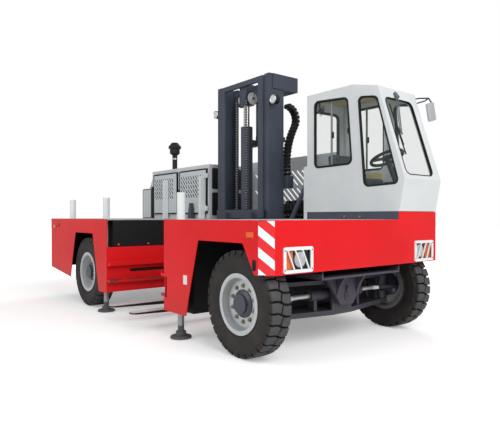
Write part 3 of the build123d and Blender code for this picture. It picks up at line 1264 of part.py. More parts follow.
with BuildPart() as inner_mast:
    for hand in (-1, 1):
        plan_prism(channel(INNER_HALF, INNER_FACE_Y, INNER_DEPTH, hand), (INNER_FOOT_Z, INNER_TOP_Z))
        roller_end = MAST_X + hand * (MAST_HALF - CHANNEL - RUN)
        for z in MAST_ROLLER_Z:
            bar(
                (MAST_X + hand * (INNER_HALF - CHANNEL / 2), (MAST_FACE_Y + mast_back) / 2, z),
                (roller_end, (MAST_FACE_Y + mast_back) / 2, z),
                MAST_ROLLER_R,
            )
    block(across(INNER_HALF), (INNER_FACE_Y, beam_back), (HEAD_BEAM_Z, INNER_TOP_Z))
    block(across(INNER_HALF), (inner_back - HEAD_BEAM, inner_back), (foot_tie_z, foot_tie_z + BAR_H))
    block(across(SHEAVE_X), (beam_back, 2 * BARREL_Y - beam_back), (YOKE_Z, INNER_TOP_Z - TIE))
    for hand in (-1, 1):
        sheave_x = sorted((MAST_X + hand * SHEAVE_X - SHEAVE_W / 2, MAST_X + hand * SHEAVE_X + SHEAVE_W / 2))
        gap_x = (sheave_x[0] - RUN / 2, sheave_x[1] + RUN / 2)
        block(gap_x, (beam_back, 2 * BARREL_Y - beam_back), (YOKE_Z, INNER_TOP_Z), mode=Mode.SUBTRACT)
        bar((sheave_x[0], BARREL_Y, SHEAVE_Z), (sheave_x[1], BARREL_Y, SHEAVE_Z), SHEAVE_R)
    pin_half = SHEAVE_X + SHEAVE_W
    bar((MAST_X - pin_half, BARREL_Y, SHEAVE_Z), (MAST_X + pin_half, BARREL_Y, SHEAVE_Z), SHEAVE_PIN_R)
keep("inner_mast", inner_mast)

with BuildPart() as lift_rod:
    bar((MAST_X, BARREL_Y, LIFT_ROD_FOOT), (MAST_X, BARREL_Y, YOKE_Z), LIFT_ROD_R)
keep("lift_rod", lift_rod)


def strand(x, y, z):
    """Chain between two Z values: wide links, each a pitch long, on a narrower run of inner links."""
    inset = ((x[1] - x[0] - CHAIN_WAIST[0]) / 2, (y[1] - y[0] - CHAIN_WAIST[1]) / 2)
    block((x[0] + inset[0], x[1] - inset[0]), (y[0] + inset[1], y[1] - inset[1]), z)
    links = int((z[1] - z[0]) // (2 * CHAIN_PITCH))
    for link in range(links):
        top = z[1] - (2 * link + 1) * CHAIN_PITCH
        block(x, y, (top - CHAIN_PITCH, top))


with BuildPart() as front_chains:
    for x in chain_x:
        with BuildSketch(front_view(x[0])) as wrap:
            with Locations((BARREL_Y, SHEAVE_Z)):
                Circle(SHEAVE_R + CHAIN)
                Circle(SHEAVE_R, mode=Mode.SUBTRACT)
                Rectangle(4 * SHEAVE_R, 4 * SHEAVE_R, align=(Align.CENTER, Align.MAX), mode=Mode.SUBTRACT)
        extrude(wrap.sketch, amount=CHAIN_W)
        strand(x, chain_front_y, (CHAIN_LUG_Z, SHEAVE_Z))
keep("front_chains", front_chains)

with BuildPart() as rear_chains:
    for x in chain_x:
        strand(x, chain_rear_y, (CHAIN_ANCHOR_Z, SHEAVE_Z))
keep("rear_chains", rear_chains)


# Fork carriage: two bars on side plates that run in the inner channels, and the forks on them
with BuildPart() as fork_carriage:
    bar_y = (BAR_FACE_Y, BAR_FACE_Y + BAR)
    for z in (BAR_LOW_Z, BAR_TOP_Z - BAR_H):
        block(across(BAR_HALF), bar_y, (z, z + BAR_H))
    for hand in (-1, 1):
        plate_x = sorted((MAST_X + hand * CARRIAGE_SIDE, MAST_X + hand * (CARRIAGE_SIDE - BAR)))
        block(plate_x, (BAR_FACE_Y, CARRIAGE_BACK_Y), (BAR_LOW_Z, BAR_TOP_Z))
        roller_end = MAST_X + hand * (INNER_HALF - CHANNEL - RUN)
        for z in CARRIAGE_ROLLER_Z:
            bar(
                (MAST_X + hand * (CARRIAGE_SIDE - BAR / 2), (INNER_FACE_Y + inner_back) / 2, z),
                (roller_end, (INNER_FACE_Y + inner_back) / 2, z),
                CARRIAGE_ROLLER_R,
            )
    for x in chain_x:
        block(x, (bar_y[1], chain_front_y[1]), (CHAIN_LUG_Z - CHAIN_LUG, CHAIN_LUG_Z))
keep("fork_carriage", fork_carriage)

with BuildPart() as forks:
    fork_low = FORK_TOP_Z - FORK
    for hand in (-1, 1):
        fork_x = MAST_X + hand * FORK_X
        front_prism(
            (
                (BAR_FACE_Y, fork_low), (BAR_FACE_Y, BAR_TOP_Z - BAR), (BAR_FACE_Y - FORK, BAR_TOP_Z - BAR),
                (BAR_FACE_Y - FORK, FORK_TOP_Z), (FORK_TIP_Y, FORK_TOP_Z),
                (FORK_TIP_Y, FORK_TOP_Z - FORK_TIP), (FORK_TAPER_Y, fork_low),
            ),
            (fork_x - FORK_W / 2, fork_x + FORK_W / 2),
        )
    fillet(forks.edges().filter_by(Axis.Z).group_by(Axis.Y)[0], FORK_W / 2.5)
keep("forks", forks)
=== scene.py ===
"""Looks of a side loader forklift: paints, glass, rubber and fittings over its solids.

Metres, in the truck's own frame: X to the cab end, Y to the cab side, Z up, origin on the ground.
"""

import math

import bpy
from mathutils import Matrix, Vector


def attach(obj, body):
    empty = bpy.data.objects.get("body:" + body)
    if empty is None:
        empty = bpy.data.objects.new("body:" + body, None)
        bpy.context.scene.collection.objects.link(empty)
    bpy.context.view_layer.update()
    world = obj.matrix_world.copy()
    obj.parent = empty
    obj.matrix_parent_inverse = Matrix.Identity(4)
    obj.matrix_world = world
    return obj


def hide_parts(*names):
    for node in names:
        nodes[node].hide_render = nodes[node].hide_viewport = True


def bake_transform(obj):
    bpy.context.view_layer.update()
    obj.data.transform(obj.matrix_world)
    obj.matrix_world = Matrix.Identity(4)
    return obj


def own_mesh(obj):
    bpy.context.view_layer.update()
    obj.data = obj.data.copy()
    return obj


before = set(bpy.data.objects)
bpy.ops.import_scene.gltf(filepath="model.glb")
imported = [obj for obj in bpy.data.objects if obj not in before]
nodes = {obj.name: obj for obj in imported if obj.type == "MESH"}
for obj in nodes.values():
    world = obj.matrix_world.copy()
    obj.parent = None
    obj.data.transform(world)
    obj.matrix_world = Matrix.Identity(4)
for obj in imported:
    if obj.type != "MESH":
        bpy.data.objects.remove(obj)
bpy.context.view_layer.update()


# The view is from low off the front right corner, at about headlamp height.
# A pale floor fades into a white surround, under three wide soft lamps and an even sky.
scene = bpy.context.scene
scene.view_settings.view_transform = "Standard"
eye = bpy.data.cameras.new("view")
eye.sensor_fit = "HORIZONTAL"
eye.sensor_width = 36.0
eye.lens = 36.53
camera = bpy.data.objects.new("view", eye)
camera.location = (5.964, -4.050, 1.309)
camera.rotation_euler = (math.radians(89.92), 0.0, math.radians(51.17))
scene.collection.objects.link(camera)
scene.camera = camera


def colour(red, green, blue):
    """Colour as a shader takes it, from the 0 to 255 values of a colour chart."""
    parts = [part / 255 for part in (red, green, blue)]
    linear = [p / 12.92 if p <= 0.04045 else ((p + 0.055) / 1.055) ** 2.4 for p in parts]
    return (*linear, 1.0)


class Value:
    """A shader socket that takes part in Python sums."""

    def __init__(self, graph, socket):
        self.graph = graph
        self.socket = socket

    def __add__(self, other):
        return self.graph.sum("ADD", self, other)

    def __sub__(self, other):
        return self.graph.sum("SUBTRACT", self, other)

    def __rsub__(self, other):
        return self.graph.sum("SUBTRACT", other, self)

    def __mul__(self, other):
        return self.graph.sum("MULTIPLY", self, other)

    def __mod__(self, other):
        return self.graph.sum("MODULO", self, other)

    def __pow__(self, other):
        return self.graph.sum("POWER", self, other)

    def __abs__(self):
        return self.graph.sum("ABSOLUTE", self, 0.0)

    __radd__ = __add__
    __rmul__ = __mul__


class Graph:
    """Node tree whose nodes are added by type, settings and sockets."""

    def __init__(self, tree):
        self.tree = tree

    def node(self, kind, settings=None, sockets=None, output=0):
        made = self.tree.nodes.new(kind)
        for name, setting in (settings or {}).items():
            setattr(made, name, setting)
        for name, value in (sockets or {}).items():
            self.set(made.inputs[name], value)
        return Value(self, made.outputs[output])

    def set(self, socket, value):
        """Link or fill a socket. A colour of three parts is read from a 0 to 255 chart."""
        if isinstance(value, Value):
            self.tree.links.new(value.socket, socket)
        elif socket.type == "RGBA" and len(value) == 3:
            socket.default_value = colour(*value)
        else:
            socket.default_value = value

    def sum(self, operation, first, second):
        return self.node("ShaderNodeMath", {"operation": operation}, {0: first, 1: second})

    def place(self):
        return self.node("ShaderNodeTexCoord", output="Object")

    def along(self, axis):
        return self.node("ShaderNodeSeparateXYZ", None, {0: self.place()}, output=axis)

    def stretched(self, scale):
        return self.node("ShaderNodeMapping", None, {"Vector": self.place(), "Scale": scale})

    def noise(self, scale, detail=4.0, stretch=(1, 1, 1)):
        sockets = {"Vector": self.stretched(stretch), "Scale": scale, "Detail": detail}
        return self.node("ShaderNodeTexNoise", None, sockets)

    def ease(self, value, low, high):
        """0 below low, 1 above high and smooth between."""
        sockets = {"Value": value, "From Min": low, "From Max": high}
        return self.node("ShaderNodeMapRange", {"interpolation_type": "SMOOTHSTEP"}, sockets)

    def blend(self, factor, first, second):
        sockets = {"Factor": factor, 6: first, 7: second}
        return self.node("ShaderNodeMix", {"data_type": "RGBA"}, sockets, output=2)

    def bump(self, height, depth):
        return self.node("ShaderNodeBump", None, {"Height": height, "Distance": depth, "Strength": 1.0})

    def coat(self, **sockets):
        """Set sockets of the material's shader, by names with underscores for spaces."""
        for name, value in sockets.items():
            self.set(self.shader.inputs[name.replace("_", " ")], value)


def finish(name, **sockets):
    """New material with these values on its shader, and the graph to add to it."""
    material = bpy.data.materials.new(name)
    material.use_nodes = True
    graph = Graph(material.node_tree)
    graph.material = material
    graph.shader = material.node_tree.nodes["Principled BSDF"]
    graph.coat(**sockets)
    return graph


surround = bpy.data.worlds.new("surround")
surround.use_nodes = True
scene.world = surround
sky = Graph(surround.node_tree)
seen = sky.node("ShaderNodeLightPath", output="Is Camera Ray")
mirrored = sky.node("ShaderNodeLightPath", output="Is Glossy Ray")
through = sky.node("ShaderNodeLightPath", output="Is Transmission Ray")
white_out = sky.ease(seen + mirrored * 0.4 + through, 0.0, 1.0)
SKY_LEVEL = 0.4
sky_shader = surround.node_tree.nodes["Background"]
sky.set(sky_shader.inputs["Color"], (1.0, 1.0, 1.0, 1.0))
sky.set(sky_shader.inputs["Strength"], white_out * (1.0 - SKY_LEVEL) + SKY_LEVEL)

lamps = (
    ("front_lamp", (8.5, -1.5, 6.0), (0.8, 0.2, 1.0), 6.0, 520.0),
    ("side_lamp", (-0.5, -9.5, 5.5), (0.0, 0.0, 1.0), 7.0, 330.0),
    ("far_lamp", (-6.0, 7.5, 7.0), (0.0, 0.0, 1.2), 6.0, 320.0),
)
for name, spot, target, width, power in lamps:
    light = bpy.data.lights.new(name, "AREA")
    light.size = width
    light.energy = power
    lamp = bpy.data.objects.new(name, light)
    lamp.location = spot
    lamp.rotation_euler = (Vector(target) - Vector(spot)).to_track_quat("-Z", "Y").to_euler()
    scene.collection.objects.link(lamp)

bpy.ops.object.select_all(action="DESELECT")
bpy.ops.mesh.primitive_circle_add(vertices=64, radius=60.0, fill_type="NGON")
floor = bpy.context.object
floor.name = "floor"
floor_paint = finish("floor_white", Roughness=0.9, Base_Color=(0.9, 0.9, 0.9, 1.0), Emission_Strength=1.0)
from_middle = floor_paint.node(
    "ShaderNodeVectorMath", {"operation": "LENGTH"}, {0: floor_paint.place()}, output="Value"
)
far_off = floor_paint.ease(from_middle, 4.0, 9.0)
floor_seen = floor_paint.node("ShaderNodeLightPath", output="Is Camera Ray")
floor_glow = floor_paint.blend((far_off * 0.8 + 0.3) * floor_seen, (0, 0, 0), (255, 255, 255))
floor_paint.coat(Emission_Color=floor_glow)
floor.data.materials.append(floor_paint.material)


# Red side, front and tail panels: folded steel sheet in gloss enamel, welded to the frame,
# with painted shade, near black, on the sheets inside the wheel arches and road dust towards the sills.
SIDE_Y = 1.290
SKIN_Y = 1.286
ARCH_SPANS = ((1.515, 2.685), (-2.806, -0.575))


def arch_shade_mask(graph):
    """Mask of painted shade: 1 on the sheets inside a wheel arch, 0 on the outer skin."""
    inside = 1.0 - graph.ease(abs(graph.along("Y")), SKIN_Y - 0.004, SKIN_Y)
    x = graph.along("X")
    front, rear = (
        graph.ease(x, low - 0.002, low + 0.002) - graph.ease(x, high - 0.002, high + 0.002)
        for low, high in ARCH_SPANS
    )
    return inside * (front + rear)


def enamel(name, paint, shade, roughness, dust, gloss=0.06, arches=False):
    """Sprayed enamel: drifting tone, faint orange peel and dust that thickens near the ground; with arches,
    painted shade inside the wheel arches.
    """
    graph = finish(name, Coat_Weight=gloss, Coat_Roughness=0.12, Specular_IOR_Level=0.22)
    drift = graph.noise(1.7, 3.0)
    tone = graph.blend(graph.ease(drift, 0.35, 0.7), paint, shade)
    if arches:
        # Painted shade: the sheets inside the wheel arches are painted near black.
        tone = graph.blend(arch_shade_mask(graph), tone, (14, 14, 15))
    specks = graph.noise(38.0, 6.0)
    low = 1.0 - graph.ease(graph.along("Z"), 0.25, 1.1)
    dirt = graph.ease(specks * 0.5 + low * 0.55 + drift * 0.25, 0.62, 1.1) * dust
    graph.coat(Base_Color=graph.blend(dirt, tone, (112, 98, 84)))
    graph.coat(Roughness=dirt * 0.4 + specks * 0.06 + roughness)
    graph.coat(Normal=graph.bump(graph.noise(420.0, 2.0), 0.00012))
    return graph.material


def paint_node(material, *names):
    """Give a material to solids of the frame."""
    for name in names:
        for slot in nodes[name].material_slots:
            slot.material = material


red_enamel = enamel("red_enamel", (226, 20, 28), (217, 15, 22), 0.34, 0.12, arches=True)
paint_node(red_enamel, "front_skirt", "rear_skirt")


# Warning board on the cut front corner: reflective film in slanting white and red bands,
# stuck to the red panel.
def select_none():
    """Leave edit mode and drop the selection."""
    if bpy.context.object and bpy.context.object.mode != "OBJECT":
        bpy.ops.object.mode_set(mode="OBJECT")
    bpy.ops.object.select_all(action="DESELECT")


def fix_place():
    """Move the place, turn and scale of the selected piece into its mesh."""
    bpy.ops.object.transform_apply(location=True, rotation=True, scale=True)


def open_mesh():
    """Edit the active mesh, with all of it selected."""
    bpy.ops.object.mode_set(mode="EDIT")
    bpy.ops.mesh.select_all(action="SELECT")


def close_mesh():
    """Turn the faces of the edited mesh outwards and leave edit mode."""
    bpy.ops.mesh.select_all(action="SELECT")
    bpy.ops.mesh.normals_make_consistent(inside=False)
    bpy.ops.object.mode_set(mode="OBJECT")


def joined(pieces):
    """One piece from several."""
    select_none()
    for piece in pieces:
        piece.select_set(True)
    bpy.context.view_layer.objects.active = pieces[0]
    bpy.ops.object.join()
    return bpy.context.object


def settle(piece, name, material, body="chassis"):
    """Name a piece or a list of parts, give it material and slot, and let it ride on its body, if any."""
    if isinstance(piece, list):
        piece = joined(piece)
    select_none()
    piece.name = name
    piece.data.name = name
    bpy.context.view_layer.objects.active = piece
    piece.select_set(True)
    fix_place()
    bpy.ops.object.shade_smooth_by_angle(angle=math.radians(40))
    piece.data.materials.clear()
    piece.data.materials.append(material)
    if body:
        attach(piece, body)
    return piece


def apply_all(piece):
    """Apply every modifier of a piece, in order."""
    bpy.context.view_layer.objects.active = piece
    for modifier in list(piece.modifiers):
        bpy.ops.object.modifier_apply(modifier=modifier.name)


def soften(piece, width, segments=2):
    """Round the sharp edges of a piece."""
    rounding = piece.modifiers.new("rounding", "BEVEL")
    rounding.width = width
    rounding.segments = segments
    rounding.limit_method = "ANGLE"
    rounding.angle_limit = math.radians(35)
    apply_all(piece)
    open_mesh()
    bpy.ops.mesh.remove_doubles(threshold=0.00002)
    bpy.ops.object.mode_set(mode="OBJECT")
    return piece


def block(low, high, edge=0.003, segments=2):
    """Block between two corners with its edges rounded."""
    select_none()
    sides = [h - l for l, h in zip(low, high)]
    bpy.ops.mesh.primitive_cube_add(size=1.0, location=[(l + h) / 2 for l, h in zip(low, high)])
    piece = bpy.context.object
    piece.scale = sides
    fix_place()
    return soften(piece, edge, segments)


def rod(start, end, radius, sides, edge):
    """Round bar from one point to another, with its ends rounded."""
    select_none()
    start = Vector(start)
    run = Vector(end) - start
    bpy.ops.mesh.primitive_cylinder_add(
        vertices=sides, radius=radius, depth=run.length, location=start + run / 2,
        rotation=run.to_track_quat("Z", "Y").to_euler(),
    )
    piece = bpy.context.object
    fix_place()
    return soften(piece, edge)


def turned(base, axis, steps, sides):
    """Round piece built up along an axis from steps of height and radius, from a filled disc."""
    select_none()
    height, radius = steps[0]
    bpy.ops.mesh.primitive_circle_add(vertices=sides, radius=radius, fill_type="NGON", location=(0, 0, height))
    piece = bpy.context.object
    fix_place()
    open_mesh()
    for next_height, next_radius in steps[1:]:
        lift = (0, 0, next_height - height)
        grow = next_radius / radius
        bpy.ops.mesh.extrude_region_move(TRANSFORM_OT_translate={"value": lift})
        bpy.ops.transform.resize(value=(grow, grow, 1), center_override=(0, 0, next_height))
        height, radius = next_height, next_radius
    close_mesh()
    piece.location = base
    piece.rotation_euler = Vector(axis).to_track_quat("Z", "Y").to_euler()
    fix_place()
    return piece


def sheet(corners):
    """Flat four-cornered face, in order round its outline, left open in edit mode."""
    select_none()
    bpy.ops.mesh.primitive_plane_add(size=1.0)
    piece = bpy.context.object
    for vertex, corner in zip((0, 1, 3, 2), corners):
        piece.data.vertices[vertex].co = corner
    open_mesh()
    return piece


def panel(corners, depth, radius=0.0, edge=0.001):
    """Flat panel with rounded corners, thickened by a depth vector."""
    piece = sheet(corners)
    if radius:
        bpy.ops.mesh.bevel(offset=radius, segments=5, affect="VERTICES")
        bpy.ops.mesh.select_all(action="SELECT")
    bpy.ops.mesh.extrude_region_move(TRANSFORM_OT_translate={"value": depth})
    close_mesh()
    return soften(piece, min(edge, 0.4 * Vector(depth).length)) if edge else piece


CORNER_SIDE = (2.646, -SIDE_Y)
CORNER_FRONT = (2.746, -1.190)
FILM_LOW, FILM_HIGH = 0.812, 1.274
FILM = 0.0015
film_paint = finish("warning_film", Coat_Weight=0.5, Coat_Roughness=0.1)
across = (film_paint.along("X") - CORNER_SIDE[0]) * (0.82 * math.sqrt(2.0))
BAND = 0.184
band_place = (film_paint.along("Z") + across - 0.047) % BAND
white_band = film_paint.ease(band_place, 0.0005, 0.0015) * (1.0 - film_paint.ease(band_place, 0.085, 0.086))
grain = film_paint.noise(300.0, 2.0)
film_white = film_paint.blend(grain, (238, 246, 248), (222, 234, 238))
film_tone = film_paint.blend(white_band, (226, 30, 38), film_white)
film_paint.coat(Base_Color=film_tone, Roughness=grain * 0.1 + 0.25)
proud = Vector((FILM, -FILM, 0)) * 0.7
film_corners = [
    Vector((*CORNER_SIDE, FILM_LOW)), Vector((*CORNER_FRONT, FILM_LOW)),
    Vector((*CORNER_FRONT, FILM_HIGH)), Vector((*CORNER_SIDE, FILM_HIGH)),
]
warning_board = panel(film_corners, proud, edge=0.0)
settle(warning_board, "warning_board", film_paint.material)


# Blank white plate beside the front arch: thin plastic, moulded flat
# and stuck to the red side panel.
def upright(x0, x1, y, z0, z1):
    """Corners of an upright face along X."""
    return [(x0, y, z0), (x1, y, z0), (x1, y, z1), (x0, y, z1)]


label_paint = enamel("label_white", (232, 233, 230), (222, 223, 220), 0.35, 0.2)
label = panel(upright(1.430, 1.505, -SIDE_Y, 0.610, 0.705), (0, -0.002, 0), 0.004)
settle(label, "blank_plate", label_paint)


# Rails in the well: rolled steel in the same red, welded to the cross members of the frame,
# with painted shade, near black, along the inside of the channel.
rail_red = finish("rail_red", Specular_IOR_Level=0.3)
rail_wear = rail_red.noise(20.0, 5.0, (1.0, 0.3, 3.0))
rail_z = rail_red.along("Z")
# Painted shade: a near-black band along the inside of the channel, where shade falls under its top flange.
channel_shade = rail_red.ease(rail_z, 0.553, 0.557) * (1.0 - rail_red.ease(rail_z, 0.597, 0.601))
channel_shade = channel_shade * rail_red.ease(rail_red.along("Y"), -0.955, -0.945)
shelf = rail_red.ease(rail_z, 0.428, 0.432) * (1.0 - rail_red.ease(rail_z, 0.462, 0.466))
rail_tone = rail_red.blend(rail_wear, (236, 24, 30), (224, 20, 26))
rail_tone = rail_red.blend(shelf * rail_red.ease(rail_wear, 0.45, 0.55), rail_tone, (96, 66, 66))
rail_red.coat(Base_Color=rail_red.blend(channel_shade, rail_tone, (34, 20, 20)), Roughness=rail_wear * 0.2 + 0.35)
paint_node(rail_red.material, "reach_rails")


# Load decks: grey sheet steel with a gritty coating, welded down along their edges
# and scuffed to bare metal where loads slide on them.
deck_coat = finish("deck_coat")
grit = deck_coat.noise(260.0, 3.0)
patches = deck_coat.noise(2.2, 5.0)
scrapes = deck_coat.ease(deck_coat.noise(9.0, 5.0, (12.0, 0.6, 1.0)), 0.62, 0.72)
deck_tone = deck_coat.blend(deck_coat.ease(patches, 0.3, 0.7), (186, 190, 192), (166, 170, 172))
deck_tone = deck_coat.blend(scrapes * 0.4, deck_tone, (120, 122, 124))
deck_coat.coat(Base_Color=deck_tone, Roughness=0.62 - scrapes * 0.2, Metallic=scrapes * 0.3)
deck_coat.coat(Normal=deck_coat.bump(grit, 0.0012))
paint_node(deck_coat.material, "front_deck", "rear_deck", "side_deck")


# Frame, axles and steering: welded and cast steel in dark blue-grey chassis paint, with dust
# in its corners. A bolted keeper holds the trunnion of the front axle.
def chassis_paint(name, paint, shade, dust):
    """Satin chassis paint over rough plate."""
    graph = finish(name)
    drift = graph.noise(3.0, 5.0)
    specks = graph.noise(70.0, 5.0)
    tone = graph.blend(graph.ease(drift, 0.3, 0.7), paint, shade)
    dirt = graph.ease(specks * 0.6 + drift * 0.5, 0.58, 0.8) * dust
    graph.coat(Base_Color=graph.blend(dirt, tone, (120, 108, 96)), Roughness=specks * 0.2 + 0.38)
    graph.coat(Normal=graph.bump(specks, 0.0004))
    return graph.material


frame_paint = chassis_paint("frame_paint", (15, 15, 17), (22, 22, 24), 0.06)
axle_paint = chassis_paint("axle_paint", (66, 63, 73), (54, 52, 60), 0.14)
paint_node(frame_paint, "rear_axle", "engine")
bracket_paint = finish("front_bracket_paint", Specular_IOR_Level=0.3)
bracket_specks = bracket_paint.noise(70.0, 5.0)
bracket_zone = bracket_paint.ease(bracket_paint.along("X"), 2.300, 2.310)
bracket_tone = bracket_paint.blend(bracket_specks, (80, 75, 88), (64, 60, 71))
dark_tone = bracket_paint.blend(bracket_specks, (15, 15, 17), (22, 22, 24))
bracket_low = 1.0 - bracket_paint.ease(bracket_paint.along("Z"), 0.770, 0.780)
bracket_paint.coat(Base_Color=bracket_paint.blend(bracket_zone * bracket_low, dark_tone, bracket_tone))
bracket_paint.coat(Roughness=bracket_specks * 0.2 + 0.38, Normal=bracket_paint.bump(bracket_specks, 0.0004))
paint_node(bracket_paint.material, "main_frame")
paint_node(axle_paint, "front_axle", "right_knuckle", "left_knuckle", "reach_frame")

TRUNNION = (2.531, 0.0, 0.500)
keeper = [
    block((2.525, -0.016, 0.528), (2.540, 0.016, 0.610), 0.003),
    turned((2.540, 0.0, 0.590), (1, 0, 0), ((0, 0.011), (0.008, 0.011), (0.010, 0.008)), 6),
    turned(TRUNNION, (1, 0, 0), ((0, 0.040), (0.004, 0.036), (0.004, 0.012), (0.010, 0.010)), 24),
]
settle(keeper, "trunnion_keeper", axle_paint)


# Small oval marker lamps on the rear wall of the well: amber mouldings,
# fluted and screwed on.
def moulding(name, tint, cover):
    """Fluted lamp lens in one tint."""
    graph = finish(name, Roughness=0.12, Coat_Weight=0.6, Alpha=cover)
    sockets = {"Vector": graph.place(), "Scale": 60.0}
    flutes = graph.node("ShaderNodeTexWave", {"bands_direction": "Y"}, sockets)
    graph.coat(Base_Color=graph.blend(flutes * 0.06, tint, (1.0, 1.0, 1.0, 1.0)))
    graph.coat(Normal=graph.bump(flutes, 0.001))
    return graph.material


amber_lens = moulding("amber_lens", (236, 110, 16), 0.95)
WELL_LAMP_Y = (-1.114, -0.667)
well_lamps = [block((-0.537, y - 0.013, 0.923), (-0.525, y + 0.013, 0.943), 0.005, 3) for y in WELL_LAMP_Y]
settle(well_lamps, "well_lamps", amber_lens)


# Steering rod and lift rod: ground steel bar, chromed where it slides through its seals.
# The steering rod is painted dark past the ram.
def grained(name, light, dark, scale, detail, stretch=(1, 1, 1), rough=None, depth=0.0, **sockets):
    """Material of one grain, which sets its tone, its roughness by gain and base, and its relief."""
    graph = finish(name, **sockets)
    grain = graph.noise(scale, detail, stretch)
    graph.coat(Base_Color=graph.blend(grain, light, dark))
    if rough:
        gain, base = rough
        graph.coat(Roughness=grain * gain + base)
    if depth:
        graph.coat(Normal=graph.bump(grain, depth))
    return graph.material


bright_rod = grained(
    "bright_rod", (214, 214, 212), (176, 176, 176), 30.0, 4.0, (0.4, 0.4, 6.0),
    rough=(0.16, 0.1), Metallic=1.0,
)
paint_node(bright_rod, "lift_rod")
ram_rod = finish("steering_rod", Metallic=0.6)
ram_lines = ram_rod.noise(30.0, 4.0, (4.0, 0.1, 4.0))
past_ram = ram_rod.ease(abs(ram_rod.along("Y")), 0.690, 0.700)
ram_tone = ram_rod.blend(ram_lines, (222, 222, 220), (190, 190, 190))
ram_rod.coat(Base_Color=ram_rod.blend(past_ram, ram_tone, (46, 44, 52)), Roughness=ram_lines * 0.16 + 0.2)
paint_node(ram_rod.material, "steer_rod")


# Cab panels, deck posts and lamp frames: pale grey-white enamel on pressed steel, welded along
# the seams. The base of the cab is a folded tray in dark chassis paint.
cab_enamel = enamel("cab_enamel", (214, 218, 219), (206, 210, 212), 0.34, 0.25)
cab_panels = ("cab_right", "cab_left", "cab_rear", "cab_roof", "cab_front", "cab_door")
paint_node(cab_enamel, *cab_panels)
paint_node(enamel("post_white", (224, 229, 229), (216, 221, 222), 0.32, 0.06), "deck_posts")
frame_white = finish("lamp_frame_white", Specular_IOR_Level=0.3)
bucket = 1.0 - frame_white.ease(frame_white.along("X"), 2.7445, 2.7455)
frame_grain = frame_white.noise(60.0, 4.0)
frame_tone = frame_white.blend(frame_grain, (238, 240, 240), (224, 228, 228))
frame_white.coat(Base_Color=frame_white.blend(bucket, frame_tone, (14, 14, 15)))
frame_white.coat(Roughness=frame_grain * 0.1 + 0.35)
paint_node(frame_white.material, "headlamp_frames")
paint_node(chassis_paint("cab_base_paint", (66, 70, 84), (58, 62, 74), 0.1), "cab_base")


# Window rubbers: black extruded seals, pressed over the edge of each cut-out
# to hold the glass.
rubber = grained(
    "window_rubber", (12, 13, 15), (20, 21, 23), 180.0, 4.0,
    depth=0.0003, Roughness=0.6, Specular_IOR_Level=0.25,
)


def seal(corners, out, radius, lap=0.010, width=0.03, proud_by=0.006, depth=0.032):
    """Rubber ring round a window: it laps over the panel and narrows the glass."""
    out = Vector(out)
    piece = sheet([Vector(c) + out * proud_by for c in corners])
    bpy.ops.mesh.bevel(offset=radius, segments=7, affect="VERTICES")
    bpy.ops.mesh.select_all(action="SELECT")
    bpy.ops.mesh.inset(thickness=lap, depth=0.0, use_outset=True)
    bpy.ops.mesh.inset(thickness=width, depth=0.0)
    bpy.ops.mesh.delete(type="FACE")
    bpy.ops.mesh.select_all(action="SELECT")
    bpy.ops.mesh.extrude_region_move(TRANSFORM_OT_translate={"value": out * -depth})
    close_mesh()
    return soften(piece, min(0.006, 0.35 * depth, 0.4 * width), 3)


SIDE_PANE = ((1.492, 1.912), (2.110, 1.920), (2.042, 2.722), (1.492, 2.762))
QUARTER_PANE = ((2.270, 1.645), (2.752, 1.662), (2.460, 2.660), (2.183, 2.702))
DOOR_PANE = ((1.500, 1.900), (2.056, 1.900), (2.056, 2.730), (1.500, 2.730))
REAR_PANE = ((0.700, 1.900), (1.175, 1.900), (1.175, 2.680), (0.700, 2.680))
SCREEN = ((0.645, 1.762), (1.170, 1.762), (1.170, 2.652), (0.645, 2.652))
PANE_CORNER = 0.075
CAB_RIGHT_Y = 0.585
CAB_LEFT_Y = 1.290
CAB_REAR_X = 1.370
KNEE = (2.810, 1.720)
SCREEN_TOP = (2.464, 2.770)
screen_up = Vector((SCREEN_TOP[0] - KNEE[0], 0.0, SCREEN_TOP[1] - KNEE[1])).normalized()
screen_out = Vector((screen_up.z, 0.0, -screen_up.x))


def on_screen(y, z, stand=0.0):
    """Point on the sloping windscreen from its Y and Z."""
    climb = (z - KNEE[1]) / screen_up.z
    return Vector((KNEE[0], y, KNEE[1])) + screen_up * climb + screen_out * stand


window_seals = (
    ("side_window_seal", [(x, CAB_RIGHT_Y, z) for x, z in SIDE_PANE], (0, -1, 0), 0.026, "chassis"),
    ("quarter_window_seal", [(x, CAB_RIGHT_Y, z) for x, z in QUARTER_PANE], (0, -1, 0), 0.022, "chassis"),
    ("far_quarter_seal", [(x, CAB_LEFT_Y, z) for x, z in QUARTER_PANE[::-1]], (0, 1, 0), 0.03, "chassis"),
    ("rear_window_seal", [(CAB_REAR_X, y, z) for y, z in REAR_PANE[::-1]], (-1, 0, 0), 0.03, "chassis"),
    ("windscreen_seal", [on_screen(y, z) for y, z in SCREEN], screen_out, 0.010, "chassis"),
    ("door_window_seal", [(x, CAB_LEFT_Y, z) for x, z in DOOR_PANE[::-1]], (0, 1, 0), 0.03, "door"),
)
for name, corners, out, width, body in window_seals:
    settle(seal(corners, out, PANE_CORNER, width=width), name, rubber, body)


# Cab glass: flat toughened panes with a faint green cast,
# held in the window rubbers.
pane = grained(
    "cab_pane", (120, 140, 136), (140, 158, 154), 5.0, 4.0, Roughness=0.03, Alpha=0.07, IOR=1.45
)
paint_node(pane, "cab_glass", "door_glass")


# Intake stack, driver's console and work lamp cans: black plastic with a fine grain,
# moulded in one piece and screwed on.
plastic_black = grained(
    "black_plastic", (20, 21, 23), (30, 31, 33), 240.0, 3.0,
    depth=0.0002, Roughness=0.5, Specular_IOR_Level=0.3,
)
paint_node(plastic_black, "air_intake", "driver_console", "work_lamps")


